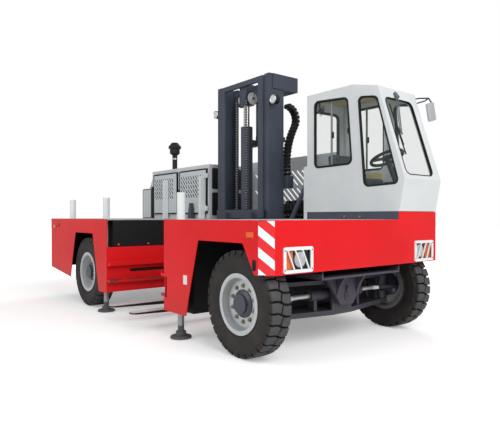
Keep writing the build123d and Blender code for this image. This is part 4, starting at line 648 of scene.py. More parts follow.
# Sliding window bars and catches: thin grey painted channels where two panes of a window meet,
# with black moulded catches screwed on.
catch_paint = chassis_paint("catch_paint", (126, 131, 134), (112, 117, 120), 0.05)
window_fittings = (
    ("side_window_bars", catch_paint, "chassis", (
        ((1.757, 0.597, 1.935), (1.777, 0.612, 2.735), 0.003),
        ((1.777, 0.598, 1.935), (1.784, 0.610, 2.735), 0.002),
    )),
    ("window_catches", plastic_black, "chassis", (
        ((1.780, 0.590, 2.262), (1.812, 0.604, 2.340), 0.005),
        ((2.024, 0.590, 2.290), (2.054, 0.604, 2.360), 0.005),
    )),
    ("door_window_bars", catch_paint, "door", (
        ((1.764, 1.262, 1.920), (1.784, 1.277, 2.712), 0.003),
        ((1.784, 1.263, 1.920), (1.790, 1.275, 2.712), 0.002),
    )),
    ("door_catch", plastic_black, "door", (((1.790, 1.252, 2.262), (1.822, 1.266, 2.340), 0.005),)),
)
for name, paint, body, blocks in window_fittings:
    settle([block(*sizes) for sizes in blocks], name, paint, body)


# Cab lining: tan felt-faced boards under the roof, inside the walls and on the door,
# held by clips through the sheet steel.
def crosswise(x, y0, y1, z0, z1):
    """Corners of an upright face along Y."""
    return [(x, y0, z0), (x, y1, z0), (x, y1, z1), (x, y0, z1)]


lining = grained("tan_lining", (202, 190, 136), (180, 168, 118), 240.0, 4.0, depth=0.0008, Roughness=0.9)
LINING = 0.012
LINING_Y0, LINING_Y1 = 0.628, 1.248
boards = []
for x0, z0, x1, z1 in ((1.412, 2.806, 2.10, 2.806), (2.102, 2.806, 2.42, 2.735)):
    ceiling = [(x0, LINING_Y0, z0), (x1, LINING_Y0, z1), (x1, LINING_Y1, z1), (x0, LINING_Y1, z0)]
    boards.append(panel(ceiling, (0, 0, -LINING)))
boards.append(panel(upright(2.13, 2.70, 1.249, 1.385, 1.625), (0, -LINING, 0), 0.03))
boards.append(panel(crosswise(1.412, 0.70, 1.20, 1.40, 1.86), (LINING, 0, 0), 0.03))
settle(boards, "cab_lining", lining)
door_board = panel(upright(1.535, 2.030, 1.246, 1.420, 1.868), (0, -0.010, 0), 0.03)
settle(door_board, "door_lining", lining, "door")


# Driver's seat: two foam cushions covered in black vinyl, over a steel box
# bolted to the floor of the cab.
CUSHION_SWELL = 0.012
CUSHION_VOXEL = 0.010
CUSHION_FRAMES = 20
vinyl = finish("seat_vinyl", Roughness=0.55)
hide = vinyl.node("ShaderNodeTexVoronoi", None, {"Vector": vinyl.place(), "Scale": 160.0})
vinyl.coat(Base_Color=vinyl.blend(vinyl.noise(6.0), (46, 48, 54), (60, 62, 68)))
vinyl.coat(Normal=vinyl.bump(hide, 0.0006))


def swing(angle, axis, centre):
    """Turn the active mesh about a line along an axis."""
    open_mesh()
    bpy.ops.transform.rotate(value=angle, orient_axis=axis, center_override=centre)
    bpy.ops.object.mode_set(mode="OBJECT")


def cushion(low, high, lean=0.0):
    """Stuffed cushion: a smaller block swollen by cloth under pressure, leaned back about its foot."""
    inner = [[side + grow * CUSHION_SWELL for side in corner] for corner, grow in ((low, 1), (high, -1))]
    piece = block(*inner, 0.030, 3)
    skin = piece.modifiers.new("skin", "REMESH")
    skin.mode = "VOXEL"
    skin.voxel_size = CUSHION_VOXEL
    apply_all(piece)
    slack = [vertex.co.copy() for vertex in piece.data.vertices]
    filling = piece.modifiers.new("filling", "CLOTH")
    filling.settings.use_pressure = True
    filling.settings.uniform_pressure_force = 4.0
    filling.settings.effector_weights.gravity = 0.0
    for frame_number in range(1, CUSHION_FRAMES + 1):
        scene.frame_set(frame_number)
    apply_all(piece)
    scene.frame_set(1)
    for vertex, start in zip(piece.data.vertices, slack):
        swell = vertex.co - start
        if swell.length > CUSHION_SWELL:
            vertex.co = start + swell * (CUSHION_SWELL / swell.length)
    piece.modifiers.new("cover", "SUBSURF").levels = 1
    apply_all(piece)
    swing(lean, "Y", ((low[0] + high[0]) / 2, (low[1] + high[1]) / 2, low[2]))
    return piece


seat_base = joined([
    block((1.66, 0.76, 1.284), (2.03, 1.12, 1.600), 0.010),
    block((1.64, 0.73, 1.600), (2.06, 1.15, 1.650), 0.012),
])
settle(seat_base, "seat_base", plastic_black)
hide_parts("driver_seat")
seat_pad = cushion((1.68, 0.715, 1.640), (2.17, 1.165, 1.775))
settle(seat_pad, "seat_pad", vinyl.material)
seat_back = cushion((1.60, 0.725, 1.740), (1.73, 1.155, 2.115), math.radians(8))
settle(seat_back, "seat_back", vinyl.material)


# Steering wheel rim: black plastic moulded over a steel ring,
# with a cap pressed over the nut of the column.
WHEEL_AT = Vector((2.330, 0.940, 2.000))
column = (WHEEL_AT - Vector((2.510, 0.940, 1.590))).normalized()


def hoop(centre, axis, radius, wire, segments, sides):
    """Ring of round wire about an axis."""
    select_none()
    bpy.ops.mesh.primitive_torus_add(
        major_segments=segments, minor_segments=sides, major_radius=radius, minor_radius=wire,
        location=centre, rotation=axis.to_track_quat("Z", "Y").to_euler(),
    )
    return bpy.context.object


grip = hoop(WHEEL_AT, column, 0.190, 0.019, 48, 12)
cap = turned(WHEEL_AT, column, ((0.010, 0.050), (0.022, 0.046), (0.028, 0.030)), 24)
settle([grip, cap], "steering_grip", plastic_black)


# Wiper: a motor cover over the screen and two thin grey arms of pressed steel,
# with a rubber blade along the glass.
arm_grey = chassis_paint("wiper_grey", (104, 107, 110), (86, 89, 92), 0.05)
wiper_arms = joined([
    rod(on_screen(0.850, 2.690, 0.026), on_screen(0.711, 2.260, 0.034), 0.007, 10, 0.002),
    rod(on_screen(0.882, 2.690, 0.026), on_screen(0.726, 2.215, 0.034), 0.007, 10, 0.002),
    rod(on_screen(0.705, 2.275, 0.034), on_screen(0.732, 2.200, 0.034), 0.010, 10, 0.002),
    rod(on_screen(0.866, 2.720, 0.004), on_screen(0.866, 2.650, 0.030), 0.024, 16, 0.006),
])
settle(wiper_arms, "wiper_arms", arm_grey)
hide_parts("wiper")
blade = [
    rod(on_screen(0.676, 2.555, 0.020), on_screen(0.712, 1.980, 0.020), 0.008, 8, 0.002),
    rod(on_screen(0.684, 2.440, 0.030), on_screen(0.706, 2.080, 0.030), 0.006, 8, 0.002),
]
settle(blade, "wiper_blade", plastic_black)


# Driver's fan: a wire guard over a small motor in black plastic,
# on a stalk screwed under the roof.
FAN_AT = Vector((1.530, 0.690, 2.650))
fan_axis = Vector((0.8, 0.5, -0.3)).normalized()
fan_parts = []
for step in range(4):
    fan_parts.append(hoop(FAN_AT + fan_axis * (0.008 * step), fan_axis, 0.072 - 0.017 * step, 0.0025, 24, 6))
motor = ((0, 0.030), (0.030, 0.034), (0.038, 0.020))
fan_parts.append(turned(FAN_AT - fan_axis * 0.040, fan_axis, motor, 16))
fan_parts.append(rod(FAN_AT - fan_axis * 0.030, (1.500, 0.680, 2.795), 0.009, 10, 0.002))
settle(fan_parts, "driver_fan", plastic_black)


# Mirror: a moulded shell with a flat silvered glass, on a bent tube bracket
# bolted to the cab corner.
shell_grey = chassis_paint("mirror_shell", (176, 180, 183), (160, 164, 168), 0.05)
MIRROR_AT = (2.640, 1.362, 2.545)
MIRROR_LEAN = math.radians(-16)


def leaned(piece):
    """Turn a piece of the mirror by the angle at which it hangs."""
    bpy.context.view_layer.objects.active = piece
    swing(MIRROR_LEAN, "X", MIRROR_AT)
    return piece


shell = leaned(block((2.622, 1.290, 2.438), (2.660, 1.434, 2.652), 0.016, 4))
settle(shell, "mirror_shell", shell_grey)
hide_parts("mirror")
silvered = grained(
    "mirror_glass", (205, 210, 214), (218, 222, 226), 8.0, 3.0, rough=(0.06, 0.03), Metallic=1.0
)
mirror_pane = leaned(panel(crosswise(2.6225, 1.304, 1.420, 2.452, 2.638), (-0.003, 0, 0), 0.012))
settle(mirror_pane, "mirror_glass", silvered)
bracket = [block((2.420, 1.290, 2.640), (2.450, 1.297, 2.735), 0.002)]
bracket_tubes = (
    ((2.435, 1.294, 2.720), (2.505, 1.352, 2.728), (2.600, 1.378, 2.716), (2.641, 1.386, 2.646)),
    ((2.435, 1.294, 2.655), (2.560, 1.366, 2.690), (2.600, 1.378, 2.716)),
)
for bends in bracket_tubes:
    bracket += [rod(near, far, 0.008, 12, 0.002) for near, far in zip(bends, bends[1:])]
settle(bracket, "mirror_bracket", plastic_black)


# Bolts through the base strip of the cab: plated steel with hexagon heads,
# turned down on washers.
plated = grained(
    "plated_nut", (162, 156, 138), (112, 106, 94), 90.0, 4.0, rough=(0.25, 0.28), Metallic=0.75
)
HEX_HEAD = ((0, 0.017), (0.003, 0.017), (0.003, 0.012), (0.012, 0.012), (0.014, 0.009))
strip_bolts = [turned((x, CAB_RIGHT_Y, 1.309), (0, -1, 0), HEX_HEAD, 6) for x in (1.989, 2.219)]
settle(strip_bolts, "base_bolts", plated)


# Plugs in the tie-down slots of the skirts, and a key cover at the tail:
# black rubber, pressed in from outside.
SLOT_X, SLOT_Z = 2.590, 0.890
plugs = []
for hand in (-1, 1):
    face = upright(SLOT_X - 0.026, SLOT_X + 0.026, hand * SIDE_Y, SLOT_Z - 0.050, SLOT_Z + 0.050)
    plugs.append(panel(face, (0, hand * 0.003, 0), 0.024))
settle(plugs, "slot_plugs", rubber)
key_cover = panel(upright(-2.440, -2.408, -SIDE_Y, 1.150, 1.206), (0, -0.004, 0), 0.014)
settle(key_cover, "key_cover", rubber)


# Engine hood, hatches and rear box: pale grey sheet steel over a folded frame. The hatches lie
# in rubber seals, with louvres, a latch, a hinge and a row of studs. The louvre slot walls and leaf edges
# are painted near black as painted shade, and black boards behind the louvres, across the end of the hood
# and in the gap by the box are painted shade for the dark inside of the hood.
hood_enamel = enamel("hood_enamel", (206, 211, 214), (197, 202, 205), 0.4, 0.15, 0.05)
paint_node(hood_enamel, "hood", "rear_box", "side_guard")
leaf_paint = finish("hatch_paint", Specular_IOR_Level=0.22)
leaf_grain = leaf_paint.noise(5.0, 4.0)
leaf_tone = leaf_paint.blend(leaf_grain, (206, 211, 214), (197, 202, 205))
# Painted shade: the faces set back behind the hatch front, the louvre slot walls and leaf edges, go near
# black.
slot_shade = leaf_paint.ease(leaf_paint.along("Y"), 0.3785, 0.3800)
leaf_paint.coat(Base_Color=leaf_paint.blend(slot_shade, leaf_tone, (12, 12, 13)))
leaf_paint.coat(Roughness=leaf_grain * 0.15 + 0.38)
paint_node(leaf_paint.material, "hood_hatches")
HATCH_FACE_Y = 0.378
HATCHES = ((-2.335, -1.505), (-1.435, -0.615))
hatch_seals = []
for x0, x1 in HATCHES:
    face = upright(x0, x1, HATCH_FACE_Y, 1.355, 2.067)
    hatch_seals.append(seal(face, (0, -1, 0), 0.02, 0.012, 0.022, 0.003, 0.022))
settle(hatch_seals, "hatch_seals", rubber)
box_trim = seal(upright(-2.794, -2.454, 0.394, 1.284, 1.826), (0, -1, 0), 0.030, 0.0, 0.014, 0.004, 0.010)
# Painted shade: a black board set back in the gap between the box and the first hatch.
gap_shade_board = panel(upright(-2.450, -2.350, 0.398, 1.284, 1.860), (0, -0.006, 0))
settle([box_trim, gap_shade_board], "box_trim", rubber)
# Painted shade: black boards behind the hatch louvres and across the end of the hood stand in for its dark
# inside.
shade_boards = [panel(upright(x0 + 0.02, x1 - 0.02, 0.412, 1.375, 2.047), (0, 0.004, 0)) for x0, x1 in HATCHES]
for z0, z1 in ((1.330, 1.690), (1.745, 2.075)):
    shade_boards.append(panel(crosswise(-0.580, 0.455, 1.262, z0, z1), (0.004, 0, 0), 0.02))
settle(shade_boards, "hood_shade_boards", frame_paint)
latch = [
    block((-1.448, 0.362, 1.655), (-1.412, 0.380, 1.765), 0.006),
    block((-1.440, 0.350, 1.690), (-1.420, 0.366, 1.730), 0.004),
]
settle(latch, "hatch_latch", plastic_black)
hinge_strip = [block((-0.700, 0.370, 1.500), (-0.664, 0.380, 1.960), 0.002)]
for z in (1.44, 1.95):
    hinge_strip.append(rod((-0.640, 0.368, z - 0.045), (-0.640, 0.368, z + 0.045), 0.016, 16, 0.004))
    hinge_strip.append(block((-0.665, 0.364, z - 0.035), (-0.580, 0.380, z + 0.035), 0.004))
settle(hinge_strip, "hatch_hinge", hood_enamel)
STUD = ((0, 0.008), (0.003, 0.008), (0.006, 0.005))
studs = [turned((-0.682, 0.370, 1.530 + 0.066 * step), (0, -1, 0), STUD, 10) for step in range(7)]
settle(studs, "hinge_studs", plastic_black)


# Band clamp round the intake stack: bright strip steel,
# drawn tight by a screw.
BAND_STEPS = ((0, 0.0455), (0, 0.049), (0.024, 0.049), (0.024, 0.0455))
clamp = [
    turned((-2.130, 0.700, 2.352), (0, 0, 1), BAND_STEPS, 32),
    block((-2.100, 0.640, 2.356), (-2.080, 0.662, 2.372), 0.003),
]
settle(clamp, "intake_clamp", bright_rod)


# Valve bank behind the mast: cast slices bolted together on the side deck,
# with plated unions in each slice.
slices = []
unions = []
for step in range(9):
    x = 0.400 + 0.066 * step
    middle = x + 0.029
    top = 1.500 + 0.045 * (step % 2)
    slices.append(block((x, 1.050, 1.281), (x + 0.058, 1.215, top), 0.008))
    slices.append(rod((middle, 1.052, 1.400), (middle, 1.020, 1.400), 0.020, 16, 0.004))
    unions.append(turned((middle, 1.100, top), (0, 0, 1), HEX_HEAD, 6))
    unions.append(rod((middle, 1.050, 1.330), (middle, 1.012, 1.330), 0.013, 6, 0.002))
slices.append(block((0.385, 1.070, 1.281), (1.005, 1.200, 1.330), 0.006))
settle(slices, "valve_bank", frame_paint)
settle(unions, "valve_unions", plated)


# Mast, carriage and lift cylinder: rolled channels and tube, welded up
# and sprayed in dark blue-grey satin paint.
mast_paint = chassis_paint("mast_paint", (60, 67, 82), (52, 59, 73), 0.06)
paint_node(mast_paint, "outer_mast", "inner_mast", "fork_carriage", "lift_barrel", "cab_stay", "deck_stub")


# Hose carrier: hinged black plastic links along a loop behind the mast,
# ending in a sheet steel box bolted to the outer mast.
CARRIER_X = 0.860
LINK_SHELLS = ((0.055, 0.027, 0.46, 0.006), (0.056, 0.0295, 0.24, 0.004))


def turned_by(flat, angle):
    """Flat vector turned by an angle."""
    cos, sin = math.cos(angle), math.sin(angle)
    return Vector((flat.x * cos - flat.y * sin, flat.x * sin + flat.y * cos))


def tangent_arc(start, run, end, count):
    """Points on the arc that leaves start along run and reaches end, with the run it ends on."""
    start, end, run = Vector(start), Vector(end), Vector(run).normalized()
    side = Vector((-run.y, run.x))
    chord = end - start
    hub = start + side * (chord.length_squared / (2 * chord.dot(side)))
    sweep = 2 * math.atan2(chord.dot(side), chord.dot(run))
    points = [hub + turned_by(start - hub, sweep * step / count) for step in range(count + 1)]
    return points, turned_by(run, sweep)


BULGE = (0.850, 2.560)
upper, bulge_run = tangent_arc((0.700, 2.830), (1, 0), BULGE, 7)
lower = tangent_arc(BULGE, bulge_run, (0.715, 1.870), 14)[0]
route = upper + lower[1:]
links = []
for near, far in zip(route, route[1:]):
    mid, run = (near + far) / 2, far - near
    shells = []
    for half, thick, share, edge in LINK_SHELLS:
        low = (CARRIER_X - half, -thick, -run.length * share)
        shells.append(block(low, (CARRIER_X + half, thick, run.length * share), edge))
    link = joined(shells)
    link.rotation_euler = (math.atan2(-run.x, run.y), 0, 0)
    link.location = (0, mid.x, mid.y)
    fix_place()
    links.append(link)
carrier = joined(links)
settle(carrier, "hose_links", plastic_black, "mast_outer")
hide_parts("hose_carrier")
carrier_box = block((0.805, 0.665, 1.700), (0.915, 0.779, 1.872), 0.004)
settle(carrier_box, "hose_box", mast_paint, "mast_outer")


# Sheaves: machined iron wheels on a plated pin, in the head of the inner mast
# between two welded gussets. Their tone is raised to near white, painted light against the shade under the
# head beam.
machined_iron_lit = grained(
    "machined_iron", (224, 226, 226), (200, 202, 204), 40.0, 3.0, rough=(0.2, 0.3), Metallic=0.3
)
MAST_X = 0.250
SHEAVE_Y, SHEAVE_Z = 0.490, 2.985
SHEAVE_FACE = (
    (0, 0.088), (0.002, 0.086), (0.002, 0.060), (0.0005, 0.056),
    (0.0005, 0.036), (0.006, 0.032), (0.008, 0.024),
)
PIN_END = ((0, 0.016), (0.010, 0.016), (0.013, 0.012))
sheaves = []
for dx in (-0.110, 0.110):
    for hand in (-1, 1):
        face_at = (MAST_X + dx + hand * 0.026, SHEAVE_Y, SHEAVE_Z)
        sheaves.append(turned(face_at, (hand, 0, 0), SHEAVE_FACE, 40))
settle(sheaves, "sheave_faces", machined_iron_lit, "mast_inner")
pin_ends = []
gussets = []
for hand in (-1, 1):
    pin_ends.append(turned((MAST_X + hand * 0.162, SHEAVE_Y, SHEAVE_Z), (hand, 0, 0), PIN_END, 6))
    near_x, far_x = MAST_X + hand * 0.172, MAST_X + hand * 0.330
    web = [(near_x, 0.484, 3.154), (far_x, 0.484, 3.154), (far_x, 0.484, 3.124), (near_x, 0.484, 3.030)]
    gussets.append(panel(web[::hand], (0, 0.012, 0), 0.004))
settle(pin_ends, "sheave_pin_ends", plated, "mast_inner")
settle(gussets, "head_gussets", mast_paint, "mast_inner")


# Work lamps on the mast: a bright pressed rim and a clear glass,
# clipped to the front of each black can.
lamp_face = grained(
    "lamp_face", (214, 220, 224), (240, 243, 244), 90.0, 2.0,
    Metallic=0.6, Roughness=0.15, Coat_Weight=0.8,
)
LAMP_RIM = ((0, 0.060), (0.008, 0.060), (0.010, 0.056), (0.006, 0.050))
LAMP_GLASS = ((0.005, 0.050), (0.009, 0.046), (0.011, 0.020))
lamp_rims = []
lamp_glass = []
for hand in (-1, 1):
    lamp_at = (MAST_X + hand * 0.662, 0.410, 2.870)
    lamp_rims.append(turned(lamp_at, (0, -1, 0), LAMP_RIM, 32))
    lamp_glass.append(turned(lamp_at, (0, -1, 0), LAMP_GLASS, 32))
settle(lamp_rims, "work_lamp_rims", bright_rod, "mast_outer")
settle(lamp_glass, "work_lamp_glass", lamp_face, "mast_outer")


# Lift chains: oiled leaf plates riveted on bright pins. The front pair runs from the carriage
# and the rear pair from the outer mast, up to the sheaves.
PLATE_PITCH = 0.036
CHAIN_X = (0.140, 0.360)
FRONT_CHAIN = (0.390, 1.400)
REAR_CHAIN = (0.590, 2.450)
WRAP_RADIUS = 0.100
chain_oil = chassis_paint("chain_oil", (20, 21, 25), (28, 29, 33), 0.04)
pin_steel = chassis_paint("pin_steel", (176, 177, 178), (150, 151, 152), 0.04)


def strand(x, y, low, high):
    """Row of rounded chain plates up a straight run."""
    plates = block((x - 0.0198, y - 0.0078, low + 0.001), (x + 0.0198, y + 0.0078, low + 0.030), 0.004, 1)
    row = plates.modifiers.new("row", "ARRAY")
    row.use_relative_offset = False
    row.use_constant_offset = True
    row.constant_offset_displace = (0, 0, PLATE_PITCH)
    row.count = int((high - low) / PLATE_PITCH)
    apply_all(plates)
    return plates


def strand_core(x, y, low, high):
    """Pins and inner plates seen between the outer plates, cut up so that the run can stretch."""
    core = block((x - 0.016, y - 0.003, low + 0.001), (x + 0.016, y + 0.003, high), 0.001, 1)
    open_mesh()
    bpy.ops.mesh.subdivide(number_cuts=7)
    bpy.ops.object.mode_set(mode="OBJECT")
    return core


def chain_pair(make, place, name, material, body):
    """One kind of piece for both strands of a chain, placed by its Y and the height of its foot."""
    y, foot = place
    return settle([make(x, y, foot, SHEAVE_Z) for x in CHAIN_X], name, material, body)


front_plates = chain_pair(strand, FRONT_CHAIN, "front_chain_plates", chain_oil, "mast_inner")
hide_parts("front_chains")
front_pins = chain_pair(strand_core, FRONT_CHAIN, "front_chain_pins", pin_steel, "mast_inner")
for piece in (front_plates, front_pins):
    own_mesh(piece)

rear_plates = chain_pair(strand, REAR_CHAIN, "rear_chain_plates", chain_oil, None)
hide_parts("rear_chains")
rear_pins = chain_pair(strand_core, REAR_CHAIN, "rear_chain_pins", pin_steel, None)
for piece in (rear_plates, rear_pins):
    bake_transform(piece)

wraps = []
for x in CHAIN_X:
    for step in range(11):
        turn = math.pi * step / 10
        plate = block((x - 0.0215, -0.0075, -0.0105), (x + 0.0215, 0.0075, 0.0105), 0.004, 1)
        plate.rotation_euler = (-turn, 0, 0)
        plate.location = (0, SHEAVE_Y - WRAP_RADIUS * math.cos(turn), SHEAVE_Z + WRAP_RADIUS * math.sin(turn))
        fix_place()
        wraps.append(plate)
settle(wraps, "chain_wraps", chain_oil, "mast_inner")


# Forks: forged steel hooked on the carriage, dark on the shank
# and scraped bright along the top of the blade, the up-facing scrapes whitened further as a painted highlight.
fork_steel = finish("fork_steel", Metallic=0.1)
scrape = fork_steel.noise(16.0, 6.0, (5.0, 0.5, 2.0))
facing = fork_steel.node("ShaderNodeNewGeometry", output="Normal")
facing_up = fork_steel.node("ShaderNodeSeparateXYZ", None, {0: facing}, output="Z")
blade_up = fork_steel.ease(facing_up, 0.6, 0.9)
# Real wear and painted highlight: scrapes on the up-facing faces of the blade go near white.
wear_and_highlight = fork_steel.ease(scrape, 0.20, 0.42) * blade_up
hook = fork_steel.ease(fork_steel.along("Z"), 0.98, 1.00)
shank_tone = fork_steel.blend(hook, (40, 38, 38), (56, 63, 78))
wear_and_highlight = wear_and_highlight * (1.0 - hook)
fork_steel.coat(Base_Color=fork_steel.blend(wear_and_highlight, shank_tone, (234, 234, 233)), Roughness=0.5 - scrape * 0.2)
fork_steel.coat(Normal=fork_steel.bump(scrape, 0.0006))
paint_node(fork_steel.material, "forks")


# Jack legs: ground round bar, bright where it slides in its tube,
# on a dark cast foot.
leg_steel = finish("leg_steel")
leg_grain = leg_steel.noise(26.0, 4.0, (1.0, 1.0, 0.3))
foot_dark = 1.0 - leg_steel.ease(leg_steel.along("Z"), 0.135, 0.145)
leg_tone = leg_steel.blend(leg_grain, (178, 180, 182), (140, 142, 146))
foot_tone = leg_steel.blend(leg_steel.noise(14.0, 5.0), (74, 75, 79), (94, 91, 90))
leg_steel.coat(Metallic=0.7 - foot_dark * 0.7, Base_Color=leg_steel.blend(foot_dark, leg_tone, foot_tone))
leg_steel.coat(Roughness=foot_dark * 0.35 + leg_grain * 0.15 + 0.2)
paint_node(leg_steel.material, "front_jack", "rear_jack")


# Wheels: pale grey painted discs on dark hubs, a ring of plated nuts on their studs, a split
# retaining ring and a valve. Tyres: ribbed walls and a dusty tread of blocks.
def copy_of(piece):
    """Second piece like a first."""
    select_none()
    piece.select_set(True)
    bpy.context.view_layer.objects.active = piece
    bpy.ops.object.duplicate()
    return bpy.context.object


def ring_of(piece, count, centre):
    """A piece and its copies, evenly turned about a line along Y, as one piece."""
    pieces = [piece]
    for step in range(1, count):
        pieces.append(copy_of(piece))
        swing(math.tau * step / count, "Y", centre)
    return joined(pieces)


NUT_CIRCLE = 0.1675
NUTS = 10
HUB_BOLT_CIRCLE = 0.112
HUB_BOLTS = 8
WHEELS = (
    ("front_right", "wheel_front_right", (2.240, -1.090), -1, 0.030),
    ("front_left", "wheel_front_left", (2.240, 1.090), 1, 0.030),
    ("rear_right", "wheel_rear_right", (-1.370, -1.115), -1, -0.030),
    ("rear_left", "wheel_rear_left", (-1.370, 1.115), 1, -0.030),
)
AXLE_Z = 0.500


def from_axle(graph, centre):
    """Distance from a wheel's axle line."""
    dx = graph.along("X") - centre[0]
    dz = graph.along("Z") - AXLE_Z
    return (dx * dx + dz * dz) ** 0.5


TYRE_WALL = (
    (0.092, 0.2595), (0.106, 0.292), (0.111, 0.296), (0.111, 0.303), (0.108, 0.308),
    (0.119, 0.335), (0.1262, 0.372), (0.1278, 0.395), (0.1255, 0.422), (0.1268, 0.426),
    (0.1268, 0.434), (0.123, 0.439), (0.113, 0.458), (0.100, 0.4655),
)
TYRE_RADIUS = 0.5
LUGS = 30
LUG_LENGTH = math.tau * TYRE_RADIUS / LUGS - 0.020
LUG_KINK = 0.042
LUG_STAGGER = 0.018
LUG_COLUMNS = (
    (0.1215, 0.446), (0.1150, 0.476), (0.1040, 0.4985), (LUG_KINK, TYRE_RADIUS), (0.0, TYRE_RADIUS),
)


def tread_block(side):
    """One block of the tread on one side of its middle, over the shoulder and sunk into the carcass."""
    select_none()
    bpy.ops.mesh.primitive_grid_add(x_subdivisions=4, y_subdivisions=2, size=1.0)
    piece = bpy.context.object
    for vertex in piece.data.vertices:
        along = vertex.co.y + 0.5
        y, radius = LUG_COLUMNS[round((vertex.co.x + 0.5) * 4)]
        y = side * y if y else side * 0.007 + 0.022 * (0.5 - along)
        shift = LUG_STAGGER * max(-1.0, min(1.0, y / LUG_KINK))
        turn = (shift + along * LUG_LENGTH) / TYRE_RADIUS
        vertex.co = (radius * math.sin(turn), y, radius * math.cos(turn))
    open_mesh()
    bpy.ops.mesh.extrude_region_move(TRANSFORM_OT_translate={"value": (0, 0, 0)})
    bpy.ops.transform.resize(value=(0.92, 1, 0.92), center_override=(0, 0, 0))
    close_mesh()
    return soften(piece, 0.004, 1)


section = list(TYRE_WALL) + [(-y, r) for y, r in TYRE_WALL[::-1]]
select_none()
bpy.ops.mesh.primitive_circle_add(vertices=len(section), radius=0.1, fill_type="NOTHING")
carcass = bpy.context.object
for vertex, (y, radius) in zip(carcass.data.vertices, section):
    vertex.co = (0, y, radius)
open_mesh()
bpy.ops.mesh.spin(steps=120, angle=math.tau, center=(0, 0, 0), axis=(0, 1, 0))
bpy.ops.mesh.select_all(action="SELECT")
bpy.ops.mesh.remove_doubles(threshold=0.00005)
close_mesh()
master_tyre = joined([carcass] + [ring_of(tread_block(side), LUGS, (0, 0, 0)) for side in (-1, 1)])

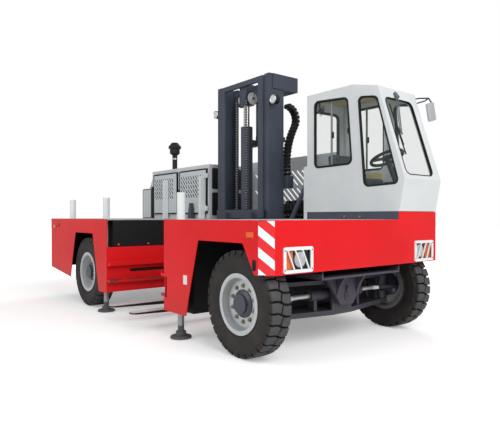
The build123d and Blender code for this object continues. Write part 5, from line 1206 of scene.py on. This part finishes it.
for corner, body, centre, hand, disc in WHEELS:
    rim = finish(f"{corner}_rim_paint", Coat_Weight=0.2, Coat_Roughness=0.2)
    rim_r = from_axle(rim, centre)
    rim_specks = rim.noise(45.0, 6.0)
    hub = 1.0 - rim.ease(rim_r, 0.1305, 0.1325)
    rim_tone = rim.blend(rim_specks, (204, 208, 210), (190, 194, 196))
    # Painted shade: the barrel of the rim, between the disc and the flange, is darkened, strongly on the front
    # wheels.
    barrel_shade = rim.ease(rim_r, 0.208, 0.226) * (1.0 - rim.ease(rim_r, 0.246, 0.254))
    rim_tone = rim.blend(barrel_shade * (0.55 if disc > 0 else 0.1), rim_tone, (126, 129, 131))
    # Painted shade: the inner side of the rim, behind the disc, is painted near black.
    back = 1.0 - rim.ease((rim.along("Y") - centre[1]) * hand, disc - 0.030, disc - 0.010)
    rim_tone = rim.blend(back * 0.85, rim_tone, (44, 42, 42))
    rim_tone = rim.blend(hub, rim_tone, (58, 62, 75))
    rim_dirt = rim.ease(rim_specks + rim_r * 0.6, 0.68, 0.95) * 0.35
    rim.coat(Base_Color=rim.blend(rim_dirt, rim_tone, (118, 106, 94)), Roughness=rim_specks * 0.15 + 0.34)
    paint_node(rim.material, f"{corner}_wheel")

    tyre = finish(f"{corner}_tyre_rubber")
    tyre_r = from_axle(tyre, centre)
    tyre_grain = tyre.noise(120.0, 5.0)
    tread = tyre.ease(tyre_r, 0.476, 0.494)
    crown = 1.0 - tyre.ease(abs(tyre.along("Y") - centre[1]), 0.100, 0.110)
    # Painted shade: the carcass between the tread blocks on the crown is painted near black.
    groove_shade = crown * (1.0 - tyre.ease(tyre_r, 0.470, 0.492))
    dusty = tyre.ease(tyre.noise(7.0, 5.0), 0.4, 0.7)
    wall_tone = tyre.blend(dusty, (26, 23, 22), (42, 36, 32))
    tread_tone = tyre.blend(tyre_grain, (56, 55, 57), (76, 75, 77))
    tyre_tone = tyre.blend(tread, wall_tone, tread_tone)
    tyre.coat(Base_Color=tyre.blend(groove_shade, tyre_tone, (18, 17, 17)), Roughness=tyre_grain * 0.2 + 0.62)
    tyre.coat(Normal=tyre.bump(tyre_grain, 0.0005))

    axle = (centre[0], centre[1], AXLE_Z)
    out = (0, hand, 0)
    disc_face = centre[1] + hand * (disc + 0.008)
    nut_at = (centre[0], disc_face, AXLE_Z + NUT_CIRCLE)
    nut = joined([
        turned(nut_at, out, ((0, 0.021), (0.004, 0.021), (0.005, 0.018)), 16),
        turned(nut_at, out, ((0.004, 0.018), (0.020, 0.018), (0.023, 0.014)), 6),
        turned(nut_at, out, ((0.018, 0.010), (0.027, 0.010), (0.029, 0.008)), 10),
    ])
    settle(ring_of(nut, NUTS, axle), f"{corner}_nuts", plated, body)
    bolt_at = (centre[0], centre[1] + hand * 0.050, AXLE_Z + HUB_BOLT_CIRCLE)
    bolt = turned(bolt_at, out, ((-0.004, 0.009), (0.006, 0.009), (0.008, 0.006)), 6)
    settle(ring_of(bolt, HUB_BOLTS, axle), f"{corner}_hub_bolts", axle_paint, body)
    select_none()
    bpy.ops.mesh.primitive_torus_add(
        major_segments=64, minor_segments=10, major_radius=0.262, minor_radius=0.008,
        location=(centre[0], centre[1] + hand * 0.108, AXLE_Z), rotation=(math.pi / 2, 0, 0),
    )
    bead = bpy.context.object
    valve = rod(
        (centre[0] + 0.236, centre[1] + hand * 0.060, AXLE_Z),
        (centre[0] + 0.226, centre[1] + hand * 0.112, AXLE_Z), 0.006, 10, 0.001,
    )
    settle([bead, valve], f"{corner}_retaining_ring", rim.material, body)

    fitted = copy_of(master_tyre)
    fitted.rotation_euler = (0, 0, 0 if hand < 0 else math.pi)
    fitted.location = axle
    settle(fitted, f"{corner}_treads", tyre.material, body)
    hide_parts(f"{corner}_tyre")

bpy.data.objects.remove(master_tyre)


# Lamp lenses and reflectors: clear, amber and red mouldings over bright pressed dishes,
# screwed to the white lamp frames.
paint_node(amber_lens, "amber_lenses")
paint_node(moulding("clear_lens", (150, 154, 156), 0.10), "lamp_lenses")
paint_node(moulding("red_lens", (170, 16, 18), 1.0), "tail_lamps")
reflector = grained(
    "reflector", (244, 246, 246), (220, 223, 226), 60.0, 2.0, depth=0.002, Metallic=0.5, Roughness=0.12
)
LAMP_Z = 0.930
HEADLAMPS = ((-0.916, -1), (1.043, 1))
DISH = (
    (0, 0.070), (0.012, 0.070), (0.012, 0.066), (0.003, 0.030),
    (0.003, 0.014), (0.010, 0.012), (0.013, 0.004),
)
SCREW_HEAD = ((0, 0.007), (0.002, 0.007), (0.004, 0.004))
dishes = []
lamp_screws = []
for y, hand in HEADLAMPS:
    dishes.append(turned((2.7145, y - hand * 0.047, LAMP_Z), (1, 0, 0), DISH, 32))
    for dy in (-0.166, 0.166):
        for dz in (-0.085, 0.085):
            lamp_screws.append(turned((2.758, y + dy, LAMP_Z + dz), (1, 0, 0), SCREW_HEAD, 10))
settle(dishes, "headlamp_dishes", reflector)
settle(lamp_screws, "lamp_screws", fork_steel.material)
